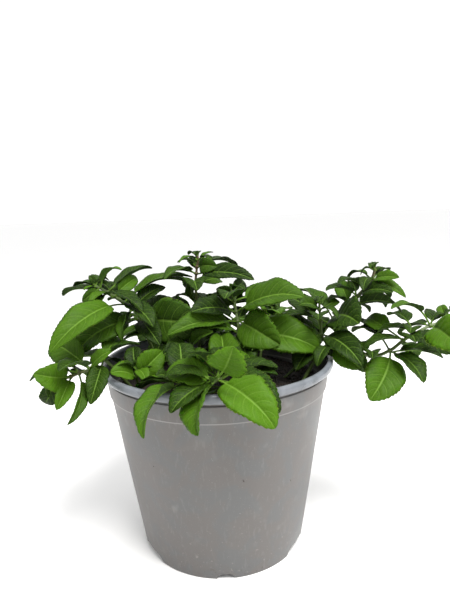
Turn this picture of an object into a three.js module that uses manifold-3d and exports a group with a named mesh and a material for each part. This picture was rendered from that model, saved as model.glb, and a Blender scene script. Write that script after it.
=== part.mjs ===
// Potted mint: a round nursery pot of moulded plastic, its potting soil, the leafy shoots and their leaves.
// Millimetres, +Z up. The origin is the middle of the pot's underside, and -Y is the front.
import * as THREE from "three";
import { mergeVertices } from "three/addons/utils/BufferGeometryUtils.js";
import Module from "manifold-3d";

const wasm = await Module();
wasm.setup();

// ---- Driving dimensions ----

const gap = 0.3; // between neighbouring pieces

const potHeight = 155.5;
const rimRadius = 95;
const lipHeight = 6; // the rolled lip at the rim
const skirtTop = 91.2; // radius of the skirt band under the lip
const skirtFoot = 89.4; // radius of the skirt band at its lower step
const skirtHeight = 16;
const wallTop = 88.4; // radius of the wall just below the skirt
const footRadius = 68;
const wall = 1.2;
const floorThickness = 1.6;
const padRadius = 54; // the flat middle of the underside
const channelHeight = 6; // the drain channel between the pad and the foot ring
const footWidth = 2.4;
const potSides = 40;

const archWidth = 30;
const slotWidth = 12;
const slotHeight = 4;
const drainHoleRadius = 3.2;
const drainHoleRing = 60;
const cutterDepth = 10; // how far a foot cutter reaches across the foot ring
const cutterInset = 6; // how far inside the foot's radius it starts
const archBearings = [90, 210, 330];
const slotBearings = [30, 150, 270];

const soilTop = 133;
const soilCrown = 1.5; // how much higher the soil is in the middle
const soilCrownRadius = 50; // where half of that height is left
const soilShoulder = 8; // the rounded edge of the soil's top

const stemTaper = 0.4; // share of its thickness that a stem loses from root to tip
const stemSteps = 2; // lengths between two joints
const collarWall = 1.1; // the swollen joint that a pair of leaves grows from
const collarHeight = 1.8;
const collarPlay = 0.65; // room for the bend of the stem inside its collar
const collarSides = 6;
const stalkHalf = 0.7;
const youngReach = 0.35; // how far off the stem's axis a leaf that is still part of it starts
const bladeHalf = 0.5; // half a blade's thickness at its midrib
const bladeStations = [0.18, 0.45, 0.75, 1];
const budLength = 5;

const sideLeaves = 2; // smaller leaves that each joint grows in the widest gaps between its main ones
const sideShare = 0.8; // a side leaf's length as a share of its joint's first leaf
const sideShortest = 12;
const sideLongest = 40;
const sideSlenderness = 0.56; // a side leaf's width as a share of its length
const sideRises = [15, -20]; // degrees
const sideArch = 4;
const sideStep = 0.6; // how far above the main leaves a side leaf leaves the stem
const turnStep = 5; // degrees that a leaf with something in its way turns aside at its first try
const turnTries = 60;
const goldenAngle = 137.5; // degrees between the sides that two tries in a row turn to
const finestEdge = 0.02; // shorter edges that joining leaves behind are removed
const stalkMeeting = 8; // mm3 that two leaves of one piece may share, at their stalks

const potPaint = { color: 0x969390, roughness: 0.42, metalness: 0 };
const soilPaint = { color: 0x1d1712, roughness: 0.95, metalness: 0 };
const stemPaint = { color: 0x6f7a35, roughness: 0.55, metalness: 0 };
const leafPaint = { color: 0x3f7d26, roughness: 0.5, metalness: 0 };

// ---- Solids ----

// The manifold-3d solid of a closed geometry.
function solidOf(geometry) {
  const bare = geometry.clone();
  bare.deleteAttribute("normal");
  bare.deleteAttribute("uv");
  const merged = mergeVertices(bare, 1e-4);
  const corners = merged.index.array;
  const kept = [];
  for (let i = 0; i < corners.length; i += 3) {
    const [a, b, c] = [corners[i], corners[i + 1], corners[i + 2]];
    if (a !== b && b !== c && c !== a) {
      kept.push(a, b, c);
    }
  }
  const vertProperties = new Float32Array(merged.attributes.position.array);
  return new wasm.Manifold(new wasm.Mesh({ numProp: 3, vertProperties, triVerts: new Uint32Array(kept) }));
}

// The three.js geometry of a manifold-3d solid.
function geometryOf(solid) {
  const mesh = solid.getMesh();
  const geometry = new THREE.BufferGeometry();
  geometry.setAttribute("position", new THREE.BufferAttribute(mesh.vertProperties, 3));
  geometry.setIndex(new THREE.BufferAttribute(mesh.triVerts, 1));
  geometry.computeVertexNormals();
  return geometry;
}

// A closed solid through rings of equally many points. Its first and last rings are filled, or are one point.
function loft(rings) {
  const sides = rings[1].length;
  const full = rings.map((ring) => (ring.length === 1 ? Array(sides).fill(ring[0]) : ring));
  const middle = (ring) => ring.reduce((sum, p) => sum.add(p), new THREE.Vector3()).divideScalar(sides);
  const triangles = [];
  full.slice(1).forEach((next, i) => {
    const ring = full[i];
    for (let k = 0; k < sides; k++) {
      const j = (k + 1) % sides;
      triangles.push(ring[k], ring[j], next[j], ring[k], next[j], next[k]);
    }
  });
  const [first, last] = [full[0], full[full.length - 1]];
  for (let k = 0; k < sides; k++) {
    const j = (k + 1) % sides;
    triangles.push(middle(first), first[j], first[k], middle(last), last[k], last[j]);
  }
  return solidOf(new THREE.BufferGeometry().setFromPoints(triangles).setIndex([...triangles.keys()]));
}

// A solid of revolution about +Z from points [radius, height], listed up the outside and down the inside.
function turned(points, sides) {
  const profile = points.map(([radius, height]) => new THREE.Vector2(radius, height));
  return solidOf(new THREE.LatheGeometry(profile, sides).rotateX(Math.PI / 2));
}

function vector(list) {
  return new THREE.Vector3(...list);
}

// The unit vector at a compass bearing, counted from +X towards +Y, and a rise above the horizontal.
function direction(bearing, rise) {
  const [b, r] = [THREE.MathUtils.degToRad(bearing), THREE.MathUtils.degToRad(rise)];
  return new THREE.Vector3(Math.cos(r) * Math.cos(b), Math.cos(r) * Math.sin(b), Math.sin(r));
}

// ---- Pot and soil ----

// The outer wall's radius at a height.
function outerWall(height) {
  return THREE.MathUtils.mapLinear(height, 0, potHeight - lipHeight - skirtHeight, footRadius, wallTop);
}

function potBody() {
  const skirtLow = potHeight - lipHeight - skirtHeight;
  const lipLow = potHeight - lipHeight;
  const footInner = footRadius - footWidth;
  return turned(
    [
      [0, 0],
      [padRadius, 0],
      [padRadius + 1.5, channelHeight],
      [footInner - 1.2, channelHeight],
      [footInner, 0],
      [footRadius - 0.8, 0],
      [footRadius, 0.8],
      [wallTop, skirtLow - 0.8],
      [skirtFoot, skirtLow],
      [skirtTop, lipLow - 1.2],
      [skirtTop, lipLow],
      [rimRadius - 1.2, lipLow],
      [rimRadius - 0.3, lipLow + 1],
      [rimRadius, lipLow + 3],
      [rimRadius - 0.5, potHeight - 1],
      [rimRadius - 1.8, potHeight],
      [rimRadius - 3.6, potHeight],
      [rimRadius - 4.8, potHeight - 1],
      [rimRadius - 5.2, lipLow],
      [skirtFoot - wall, skirtLow],
      [wallTop - wall, skirtLow - 0.8],
      [outerWall(channelHeight + floorThickness) - wall, channelHeight + floorThickness],
      [padRadius, channelHeight + floorThickness],
      [padRadius - 1.5, floorThickness],
      [0, floorThickness],
    ],
    potSides,
  );
}

// A cutter that stands across the foot ring at a bearing: a low arch, wide or narrow.
function footCutter(bearing, width, height) {
  const half = width / 2;
  const rise = (height * 4) / 3; // a cubic's crown is three quarters of its handles' height
  const shape = new THREE.Shape();
  shape.moveTo(-half, -1);
  shape.lineTo(half, -1);
  shape.lineTo(half, 0);
  shape.bezierCurveTo(half * 0.8, rise, -half * 0.8, rise, -half, 0);
  const cutter = new THREE.ExtrudeGeometry(shape, { depth: cutterDepth, bevelEnabled: false, curveSegments: 8 });
  cutter.rotateX(Math.PI / 2).rotateZ(Math.PI / 2);
  cutter.translate(footRadius - cutterInset, 0, 0);
  return solidOf(cutter.rotateZ(THREE.MathUtils.degToRad(bearing)));
}

function drainHole(bearing) {
  const [through, sides] = [floorThickness * 4, 10];
  const hole = new THREE.CylinderGeometry(drainHoleRadius, drainHoleRadius, through, sides).rotateX(Math.PI / 2);
  hole.translate(drainHoleRing, 0, channelHeight + floorThickness / 2);
  return solidOf(hole.rotateZ(THREE.MathUtils.degToRad(bearing)));
}

function pot() {
  let made = potBody();
  for (const bearing of archBearings) {
    made = made.subtract(footCutter(bearing, archWidth, channelHeight - 0.2));
    made = made.subtract(drainHole(bearing));
  }
  for (const bearing of slotBearings) {
    made = made.subtract(footCutter(bearing, slotWidth, slotHeight));
    made = made.subtract(drainHole(bearing));
  }
  return made;
}

// The soil fills the pot to below the skirt, with a hole for each stem that is rooted in it.
function soil(rootedStems) {
  const low = channelHeight + floorThickness + gap;
  const edge = gap + wall;
  let made = turned(
    [
      [0, floorThickness + gap],
      [padRadius - 1.8, floorThickness + gap],
      [padRadius - 0.3, low],
      [outerWall(low) - edge, low],
      [outerWall(soilTop - 2) - edge, soilTop - 2],
      [outerWall(soilTop - 2) - soilShoulder, soilTop],
      [soilCrownRadius, soilTop + soilCrown / 2],
      [0, soilTop + soilCrown],
    ],
    potSides,
  );
  for (const stem of rootedStems) {
    made = made.subtract(stem);
  }
  return made;
}

// ---- Stems and leaves ----

function routeOf(shoot) {
  const points = [shoot.root, ...shoot.joints.map((joint) => joint.at), shoot.tip].map(vector);
  return new THREE.CatmullRomCurve3(points, false, "catmullrom", 0.5);
}

// Half of a stem's thickness at a share of its way from root to tip.
function stemRadius(shoot, share) {
  return (shoot.thickness / 2) * (1 - stemTaper * share);
}

// A square stem along its route, grown by a clearance all round, closed by a bud at its tip.
function stem(shoot, clearance = 0) {
  const route = routeOf(shoot);
  const steps = (shoot.joints.length + 1) * stemSteps;
  const frames = route.computeFrenetFrames(steps, false);
  const rings = [];
  for (let i = 0; i <= steps; i++) {
    const centre = route.getPoint(i / steps);
    const radius = stemRadius(shoot, i / steps) + clearance;
    const corners = [frames.normals[i], frames.binormals[i]].map((axis) => axis.clone().multiplyScalar(radius));
    rings.push([corners[0], corners[1], corners[0].clone().negate(), corners[1].clone().negate()]);
    rings[i] = rings[i].map((corner) => corner.add(centre));
  }
  if (clearance > 0) {
    const down = frames.tangents[0].clone().multiplyScalar(-clearance);
    rings[0].forEach((corner) => corner.add(down));
    return loft(rings);
  }
  rings.push([route.getPoint(1).addScaledVector(frames.tangents[steps], budLength)]);
  return loft(rings);
}

function shoot(name, thickness, root, joints, tip) {
  return { name, thickness, root, joints, tip };
}

// A place on a stem where a swollen joint holds leaves, which are one piece with it.
function joint(at, ...leaves) {
  return { at, leaves, young: false };
}

// A place near a tip, where leaves are still one piece with the stem.
function youngJoint(at, ...leaves) {
  return { at, leaves, young: true };
}

// One leaf of a joint: the bearing and rise of the line from the stem to its tip, its length and width,
// how high its midrib arches above that line, its roll about it, how far its halves fold up, and its
// stalk's share of the length.
function leaf(bearing, rise, length, width, arch, roll, fold = 20, stalk = 0.15) {
  return { bearing, rise, length, width, arch, roll, fold, stalk };
}

// A blade's half width at a share of its length, as a share of its greatest: rounded base, narrower tip.
function bladeOutline(share) {
  const [base, tip] = [0.5, 0.62];
  const widest = base / (base + tip);
  const raw = (at) => Math.pow(at, base) * Math.pow(1 - at, tip);
  return raw(share) / raw(widest);
}

// A leaf that starts at a distance from the stem's axis, at a point where the stem runs along a tangent.
function leafSolid(form, at, tangent, reach) {
  const along = direction(form.bearing, form.rise);
  const level = direction(form.bearing + 90, 0);
  const upright = along.clone().cross(level);
  const roll = THREE.MathUtils.degToRad(form.roll);
  const side = level.clone().multiplyScalar(Math.cos(roll)).addScaledVector(upright, Math.sin(roll));
  const normal = upright.clone().multiplyScalar(Math.cos(roll)).addScaledVector(level, -Math.sin(roll));
  const outward = along.clone().addScaledVector(tangent, -along.dot(tangent)).normalize();
  const start = at.clone().addScaledVector(outward, reach);

  const ring = (share) => {
    const slope = along.clone().multiplyScalar(form.length);
    slope.addScaledVector(normal, form.arch * 4 * (1 - 2 * share));
    const up = slope.cross(side).normalize();
    const centre = start.clone().addScaledVector(along, form.length * share);
    centre.addScaledVector(normal, form.arch * 4 * share * (1 - share));
    const onBlade = share > form.stalk;
    const half = onBlade ? (form.width / 2) * bladeOutline((share - form.stalk) / (1 - form.stalk)) : stalkHalf;
    const fold = onBlade ? THREE.MathUtils.degToRad(form.fold) : 0;
    const thick = onBlade ? bladeHalf : stalkHalf;
    const edge = (sign) =>
      centre.clone().addScaledVector(side, sign * half * Math.cos(fold)).addScaledVector(up, half * Math.sin(fold));
    if (share === 1) {
      return [centre];
    }
    return [edge(1), centre.clone().addScaledVector(up, thick), edge(-1), centre.clone().addScaledVector(up, -thick)];
  };
  const blade = bladeStations.map((share) => form.stalk + (1 - form.stalk) * share);
  return loft([0, form.stalk, ...blade.slice(0, -1), 1].map(ring));
}

// The swollen joint that holds a pair of leaves round the stem.
function collar(at, tangent, inner) {
  const outer = inner + collarWall;
  const half = collarHeight / 2;
  const profile = [
    [inner, -half],
    [outer, -half],
    [outer, half],
    [inner, half],
    [inner, -half],
  ];
  const ring = new THREE.LatheGeometry(profile.map((p) => new THREE.Vector2(...p)), collarSides);
  ring.applyQuaternion(new THREE.Quaternion().setFromUnitVectors(new THREE.Vector3(0, 1, 0), tangent));
  return solidOf(ring.translate(at.x, at.y, at.z));
}

// The middle of the widest gap between bearings, in degrees.
function widestGap(bearings) {
  const sorted = bearings.map((bearing) => THREE.MathUtils.euclideanModulo(bearing, 360)).sort((a, b) => a - b);
  const gaps = sorted.map((bearing, i) => (sorted[i + 1] ?? sorted[0] + 360) - bearing);
  const widest = gaps.indexOf(Math.max(...gaps));
  return sorted[widest] + gaps[widest] / 2;
}

// The smaller leaves that a joint grows between its main ones.
function sideLeavesOf(joint) {
  const bearings = joint.leaves.map((form) => form.bearing);
  const length = THREE.MathUtils.clamp(joint.leaves[0].length * sideShare, sideShortest, sideLongest);
  const made = [];
  for (let i = 0; i < sideLeaves; i++) {
    const bearing = widestGap(bearings);
    bearings.push(bearing);
    made.push(leaf(bearing, sideRises[i], length, length * sideSlenderness, sideArch, 0));
  }
  return made;
}

// A leaf after a number of tries to turn aside: the tries wind outwards like the seeds of a sunflower.
function turnedAside(form, tries) {
  const turn = turnStep * Math.sqrt(tries);
  const side = THREE.MathUtils.degToRad(goldenAngle * tries);
  return { ...form, bearing: form.bearing + turn * Math.cos(side), rise: form.rise + turn * Math.sin(side) };
}

function nearby(one, other) {
  const [a, b] = [one.boundingBox(), other.boundingBox()];
  return a.min.every((low, i) => low - gap < b.max[i] && b.min[i] - gap < a.max[i]);
}

// Whether a leaf keeps its gap from every other piece and crosses no leaf of its own.
function standsClear(blade, own, pieces) {
  if (own.blades.some((other) => nearby(blade, other) && blade.intersect(other).volume() > stalkMeeting)) {
    return false;
  }
  const others = pieces.filter((piece) => piece !== own && nearby(blade, piece.solid));
  return others.every((piece) => blade.minGap(piece.solid, gap) >= gap);
}

// Grows a leaf on its piece, turned aside as little as it must. A leaf that finds no room isn't grown.
function grow(form, place, pieces) {
  for (let tries = 0; tries < turnTries; tries++) {
    const blade = leafSolid(turnedAside(form, tries), place.at, place.tangent, place.reach);
    if (standsClear(blade, place.piece, pieces)) {
      place.piece.solid = place.piece.solid.add(blade);
      place.piece.blades.push(blade);
      return;
    }
  }
}

// A shoot's bare pieces, which are its stem and its collars, and each joint's place with its piece.
function bareShoot(shoot) {
  const route = routeOf(shoot);
  const whole = shoot.joints.every((joint) => joint.young);
  const stemPiece = {
    name: whole ? shoot.name : `${shoot.name}_stem`,
    solid: stem(shoot),
    paint: whole ? leafPaint : stemPaint,
    blades: [],
  };
  const pieces = [stemPiece];
  const places = shoot.joints.map((joint, i) => {
    const share = (i + 1) / (shoot.joints.length + 1);
    const [at, tangent] = [vector(joint.at), route.getTangent(share)];
    if (joint.young) {
      return { joint, at, tangent, reach: youngReach, piece: stemPiece };
    }
    const inner = (stemRadius(shoot, share) + collarPlay) / Math.cos(Math.PI / collarSides);
    const name = `${shoot.name}_leaves_${i + 1}`;
    const piece = { name, solid: collar(at, tangent, inner), paint: leafPaint, blades: [] };
    pieces.push(piece);
    return { joint, at, tangent, reach: inner + collarWall / 2, piece };
  });
  return { pieces, places };
}

// ---- The shoots, from root to tip ----

const shoots = [
  shoot("front_low_sprout", 2.4, [-24, -50, 122], [
    youngJoint([-25, -75, 158], leaf(240, -20, 50, 24, 8, 20, 40), leaf(300, -20, 16, 11, 2, 20)),
    youngJoint([-33, -72, 160], leaf(235, 30, 16, 11, 2, -30), leaf(160, -10, 24, 14, 3, 10)),
  ], [-37, -71, 162]),
  shoot("front_rosette", 2.8, [4, -30, 122], [
    joint(
      [3, -58, 148],
      leaf(90, 35, 54, 26, 3, 0, 30),
      leaf(300, 0, 18, 12, 2, 0),
      leaf(200, -10, 32, 20, 3, 0),
    ),
    joint(
      [1, -70, 158],
      leaf(315, -10, 50, 32, 6, 30),
      leaf(140, 10, 40, 26, 5, -30),
      leaf(55, 5, 30, 18, 3, 0),
    ),
    joint([-1, -80, 162], leaf(315, -30, 52, 32, 6, 20), leaf(185, 0, 32, 24, 4, -40)),
    joint([-3, -89, 164], leaf(295, 45, 38, 26, 3, 140, 14, 0.42), leaf(250, -35, 38, 27, 5, 30, 30)),
  ], [-4, -95, 164]),
  shoot("right_mid", 2.6, [44, 0, 122], [
    joint(
      [85, 0, 161],
      leaf(235, -20, 34, 22, 4, -10),
      leaf(200, -5, 34, 20, 3, 0),
      leaf(300, -10, 42, 27, 6, 30),
    ),
    joint(
      [87, 0, 170],
      leaf(295, -35, 50, 24, 5, 20),
      leaf(230, -5, 20, 14, 2, -60),
      leaf(70, 0, 34, 20, 3, 0),
    ),
    joint([87, 0, 182], leaf(120, 20, 40, 20, 5, -30), leaf(30, -45, 42, 22, 5, 60)),
    joint([86, 0, 191], leaf(215, 20, 22, 15, 3, -40), leaf(30, 15, 20, 11, 2, 30)),
    youngJoint([86, 0, 196], leaf(75, 20, 10, 7, 1, 10)),
  ], [86, 0, 199]),
  shoot("left_arching", 2.8, [-46, 22, 122], [
    joint(
      [-64, 12, 187],
      leaf(330, 0, 58, 38, 3, 75, 12),
      leaf(210, -20, 60, 30, 9, -40),
      leaf(300, -20, 38, 20, 4, 20),
      leaf(115, -10, 38, 22, 4, 0),
    ),
    joint([-70, 8, 196], leaf(255, -50, 32, 16, 3, 30, 45), leaf(35, 25, 34, 16, 4, 30)),
    joint([-76, 6, 202], leaf(235, -15, 76, 26, 12, -30, 20, 0.22), leaf(35, 10, 66, 22, 8, 0)),
    joint([-83, 4, 208], leaf(55, 20, 28, 13, 3, 60), leaf(240, -5, 26, 11, 6, 0)),
    joint([-88, 2, 212], leaf(45, 20, 48, 16, 3, 0, 40), leaf(255, -20, 20, 9, 3, 0)),
    youngJoint([-93, 0, 216], leaf(325, 35, 30, 11, 6, 0), leaf(230, -35, 18, 9, 3, -60)),
    youngJoint([-96, -1, 218], leaf(230, -5, 12, 6, 1, 0), leaf(185, 60, 10, 6, 1, -80)),
  ], [-98, -2, 220]),
  shoot("right_long", 3, [60, -22, 122], [
    joint([88, -20, 166], leaf(315, -35, 28, 19, 3, 60), leaf(340, -5, 32, 12, 6, 0)),
    joint([121, -24, 157], leaf(110, 0, 32, 14, 5, 0), leaf(40, -35, 22, 14, 2, 0)),
    joint([136, -26, 161], leaf(230, -35, 46, 30, 4, -30, 12), leaf(115, 5, 46, 20, 8, 0, 20, 0.3)),
    joint([146, -27, 169], leaf(115, 15, 42, 18, 5, -30, 20, 0.3), leaf(50, -40, 30, 17, 3, 0)),
    joint([155, -27, 174], leaf(105, 15, 34, 17, 6, 0, 20, 0.3), leaf(15, -40, 36, 17, 5, -80)),
    joint([167, -27, 180], leaf(200, 25, 40, 15, 8, 0, 20, 0.3), leaf(275, -10, 42, 28, 5, 50)),
    youngJoint([181, -26, 183], leaf(90, 40, 16, 9, 3, -30), leaf(280, -5, 26, 15, 4, 0)),
    youngJoint([188, -25, 185], leaf(305, 20, 14, 8, 2, 0), leaf(85, 40, 12, 7, 2, 0)),
  ], [192, -25, 186]),
  shoot("centre", 3, [12, 8, 122], [
    joint(
      [18, 2, 174],
      leaf(345, -20, 66, 36, 8, 40),
      leaf(220, 5, 36, 22, 4, -30),
      leaf(20, -10, 38, 22, 4, 0),
      leaf(85, -5, 36, 22, 4, 0),
    ),
    joint(
      [18, 4, 183],
      leaf(210, -5, 64, 24, 5, -30, 30),
      leaf(310, -15, 44, 34, 5, 60),
      leaf(75, 10, 32, 18, 3, 0),
    ),
    joint([17, 6, 191], leaf(330, 5, 60, 34, 5, 40), leaf(220, 10, 44, 24, 3, -40)),
    joint([16, 8, 200], leaf(5, 0, 48, 24, 3, 40), leaf(150, 5, 26, 16, 3, 0)),
    youngJoint([14, 8, 206], leaf(50, 25, 20, 12, 2, 50), leaf(215, 20, 16, 10, 2, -90)),
  ], [14, 8, 211]),
  shoot("right_tall", 3, [62, 20, 122], [
    joint(
      [101, 14, 180],
      leaf(285, -15, 40, 36, 5, 40),
      leaf(125, 25, 46, 20, 8, 0),
      leaf(50, -15, 36, 20, 4, 0),
    ),
    joint([114, 12, 191], leaf(100, 40, 26, 15, 2, -30), leaf(305, 5, 50, 18, 8, -40)),
    joint([120, 10, 199], leaf(300, 15, 36, 16, 5, 40), leaf(95, 30, 20, 10, 4, 0)),
    joint([126, 8, 206], leaf(300, -10, 34, 13, 8, 30), leaf(110, 5, 18, 10, 3, 0)),
    joint([131, 6, 214], leaf(300, 10, 26, 13, 3, 40), leaf(125, -5, 24, 10, 6, 0)),
    youngJoint([133, 5, 221], leaf(90, 40, 10, 6, 1, -20), leaf(20, 10, 10, 6, 1, 0)),
  ], [133, 5, 225]),
  shoot("left_trailing", 2.6, [-58, -20, 122], [
    joint(
      [-88, -28, 164],
      leaf(265, -40, 36, 17, 4, -20),
      leaf(70, 15, 30, 18, 4, 20),
      leaf(150, 25, 32, 20, 3, 0),
    ),
    joint([-98, -32, 158], leaf(145, 20, 44, 26, 6, -50), leaf(0, 35, 22, 13, 3, 50)),
    joint([-106, -35, 156], leaf(270, -35, 42, 12, 5, -60, 40), leaf(135, 20, 34, 20, 3, 50)),
    joint([-112, -37, 154], leaf(260, -30, 28, 14, 4, -30, 30), leaf(240, 20, 32, 22, 3, -90)),
    youngJoint([-117, -38, 153], leaf(175, -50, 26, 16, 4, -100), leaf(135, 30, 16, 11, 2, 0)),
  ], [-120, -39, 153]),
  shoot("back_tall", 2.8, [-14, 40, 122], [
    joint(
      [-18, 42, 179],
      leaf(140, 20, 40, 20, 4, -30),
      leaf(0, 15, 56, 26, 4, 0),
      leaf(240, -15, 38, 22, 4, 0),
      leaf(95, -15, 36, 22, 4, 0),
    ),
    joint(
      [-17, 42, 193],
      leaf(250, 60, 24, 13, 2, 150),
      leaf(300, -35, 22, 13, 3, 20),
      leaf(65, 0, 34, 20, 3, 0),
    ),
    joint([-17, 42, 211], leaf(160, -5, 54, 21, 7, 0), leaf(40, 0, 28, 17, 4, 40)),
    joint([-16, 42, 220], leaf(225, -5, 38, 16, 6, 0), leaf(325, 0, 56, 19, 4, 40)),
    joint([-15, 42, 226], leaf(325, 0, 20, 15, 3, 80), leaf(35, -5, 44, 19, 7, 0)),
    youngJoint([-14, 42, 232], leaf(215, 0, 20, 7, 4, 0), leaf(35, 20, 18, 7, 2, 0)),
  ], [-14, 42, 237]),
  shoot("front_left_sprout", 2.2, [-58, -36, 122], [
    youngJoint([-61, -45, 154], leaf(220, 25, 22, 17, 3, -40), leaf(20, 40, 27, 21, 4, 70)),
    youngJoint([-60, -46, 160], leaf(105, 45, 21, 14, 2, -10), leaf(300, -15, 17, 11, 3, 10)),
  ], [-60, -46, 164]),
  shoot("front_right_sprout", 2.2, [28, -36, 122], [
    youngJoint([25, -52, 148], leaf(335, 40, 24, 20, 4, 50), leaf(115, 45, 33, 17, 2, 20)),
    youngJoint([25, -53, 154], leaf(300, -20, 18, 12, 3, 20), leaf(95, 45, 20, 12, 2, -10)),
  ], [25, -53, 158]),
  shoot("centre_left_sprout", 2.4, [-22, -14, 122], [
    youngJoint([-22, -16, 160], leaf(230, 10, 30, 22, 4, -30), leaf(50, 0, 20, 14, 3, 0)),
    youngJoint([-21, -16, 167], leaf(215, 20, 30, 20, 4, -40), leaf(330, 45, 25, 14, 3, 60, 40)),
  ], [-20, -16, 173]),
  shoot("back_left", 2.6, [-42, 52, 122], [
    joint([-50, 60, 154], leaf(120, 5, 42, 24, 8, 0), leaf(190, 10, 36, 22, 5, 0)),
    joint(
      [-58, 72, 162],
      leaf(70, 5, 38, 22, 5, 0),
      leaf(215, -5, 40, 22, 6, 0),
      leaf(300, 5, 34, 20, 3, 0),
    ),
    joint(
      [-62, 78, 171],
      leaf(140, 15, 32, 18, 4, 0),
      leaf(340, 15, 34, 18, 4, 0),
      leaf(245, 15, 28, 16, 3, 0),
    ),
    youngJoint([-65, 82, 178], leaf(60, 30, 16, 9, 2, 0), leaf(230, 20, 14, 8, 2, 0)),
  ], [-66, 84, 183]),
  shoot("back_right", 2.6, [38, 50, 122], [
    joint([44, 62, 148], leaf(75, 5, 42, 26, 6, 0), leaf(350, 10, 38, 22, 5, 0)),
    joint(
      [50, 70, 160],
      leaf(20, 0, 40, 23, 6, 0),
      leaf(165, 10, 38, 22, 5, 0),
      leaf(290, 0, 34, 20, 3, 0),
    ),
    joint(
      [54, 77, 169],
      leaf(95, 15, 32, 18, 4, 0),
      leaf(280, 20, 30, 17, 4, 0),
      leaf(45, 10, 32, 18, 3, 0),
    ),
    youngJoint([57, 82, 176], leaf(30, 30, 16, 9, 2, 0), leaf(190, 20, 14, 8, 2, 0)),
  ], [58, 84, 181]),
  shoot("back_sprout", 2.2, [0, 68, 122], [
    youngJoint(
      [0, 80, 148],
      leaf(95, 10, 34, 22, 6, 0),
      leaf(355, 20, 24, 16, 3, 0),
      leaf(240, 5, 28, 17, 3, 0),
    ),
    youngJoint(
      [0, 84, 157],
      leaf(170, 15, 28, 18, 4, 0),
      leaf(60, 25, 22, 14, 3, 0),
      leaf(110, 30, 20, 13, 2, 0),
    ),
  ], [0, 86, 163]),
];

// ---- The assembly ----

const potPiece = { name: "pot", solid: pot(), paint: potPaint };
const soilPiece = { name: "potting_soil", solid: soil(shoots.map((plan) => stem(plan, gap))), paint: soilPaint };
const bare = shoots.map(bareShoot);
const pieces = [potPiece, soilPiece, ...bare.flatMap((made) => made.pieces)];
const places = bare.flatMap((made) => made.places);
for (const place of places) {
  place.joint.leaves.forEach((form) => grow(form, place, pieces));
}
for (const place of places) {
  const at = place.at.clone().addScaledVector(place.tangent, sideStep);
  sideLeavesOf(place.joint).forEach((form) => grow(form, { ...place, at }, pieces));
}

// A solid's outer body, without the slivers, specks and closed pockets that joining leaves.
function cleaned(solid) {
  const bodies = solid.simplify(finestEdge).decompose();
  return bodies.reduce((largest, body) => (body.volume() > largest.volume() ? body : largest));
}

const group = new THREE.Group();
group.name = "potted_mint";
for (const { name, solid, paint } of pieces) {
  const mesh = new THREE.Mesh(geometryOf(cleaned(solid)), new THREE.MeshStandardMaterial(paint));
  mesh.name = name;
  group.add(mesh);
}

export default group;
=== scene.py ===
import math
import random

import bpy
import numpy as np
from bpy.props import FloatProperty, FloatVectorProperty, IntProperty, PointerProperty
from mathutils import Matrix, Vector, noise


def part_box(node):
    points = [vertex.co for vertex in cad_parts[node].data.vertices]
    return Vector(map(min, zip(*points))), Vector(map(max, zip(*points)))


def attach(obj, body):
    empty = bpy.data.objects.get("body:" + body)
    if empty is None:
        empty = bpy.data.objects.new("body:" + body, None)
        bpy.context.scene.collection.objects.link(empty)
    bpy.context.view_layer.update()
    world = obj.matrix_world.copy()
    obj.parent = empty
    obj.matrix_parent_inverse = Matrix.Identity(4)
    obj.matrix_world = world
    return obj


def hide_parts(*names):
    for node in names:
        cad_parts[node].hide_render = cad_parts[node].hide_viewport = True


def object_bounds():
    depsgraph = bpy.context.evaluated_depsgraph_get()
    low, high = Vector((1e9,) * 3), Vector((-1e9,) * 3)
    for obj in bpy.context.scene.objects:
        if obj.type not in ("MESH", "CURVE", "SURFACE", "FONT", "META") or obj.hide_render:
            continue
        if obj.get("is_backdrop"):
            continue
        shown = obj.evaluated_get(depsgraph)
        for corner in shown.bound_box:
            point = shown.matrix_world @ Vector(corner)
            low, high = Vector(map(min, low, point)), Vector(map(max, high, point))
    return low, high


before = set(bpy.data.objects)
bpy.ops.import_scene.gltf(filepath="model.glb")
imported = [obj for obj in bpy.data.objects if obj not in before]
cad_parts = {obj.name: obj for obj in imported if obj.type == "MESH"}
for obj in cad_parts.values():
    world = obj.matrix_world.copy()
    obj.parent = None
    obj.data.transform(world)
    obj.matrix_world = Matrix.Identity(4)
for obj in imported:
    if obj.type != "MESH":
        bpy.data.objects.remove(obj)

bl_info = {
    "name": "Potted Mint",
    "version": (1, 0, 0),
    "blender": (4, 5, 0),
    "location": "3D View > Sidebar > Potted Mint",
    "description": "Dresses the packed frame of a potted mint plant with its pot, soil, stems and leaves",
    "category": "Add Mesh",
}

MM = 0.001
BOX_AT_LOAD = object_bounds()
POT_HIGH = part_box("pot")[1]
SOIL_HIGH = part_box("potting_soil")[1]


# ---- Settings ----


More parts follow.
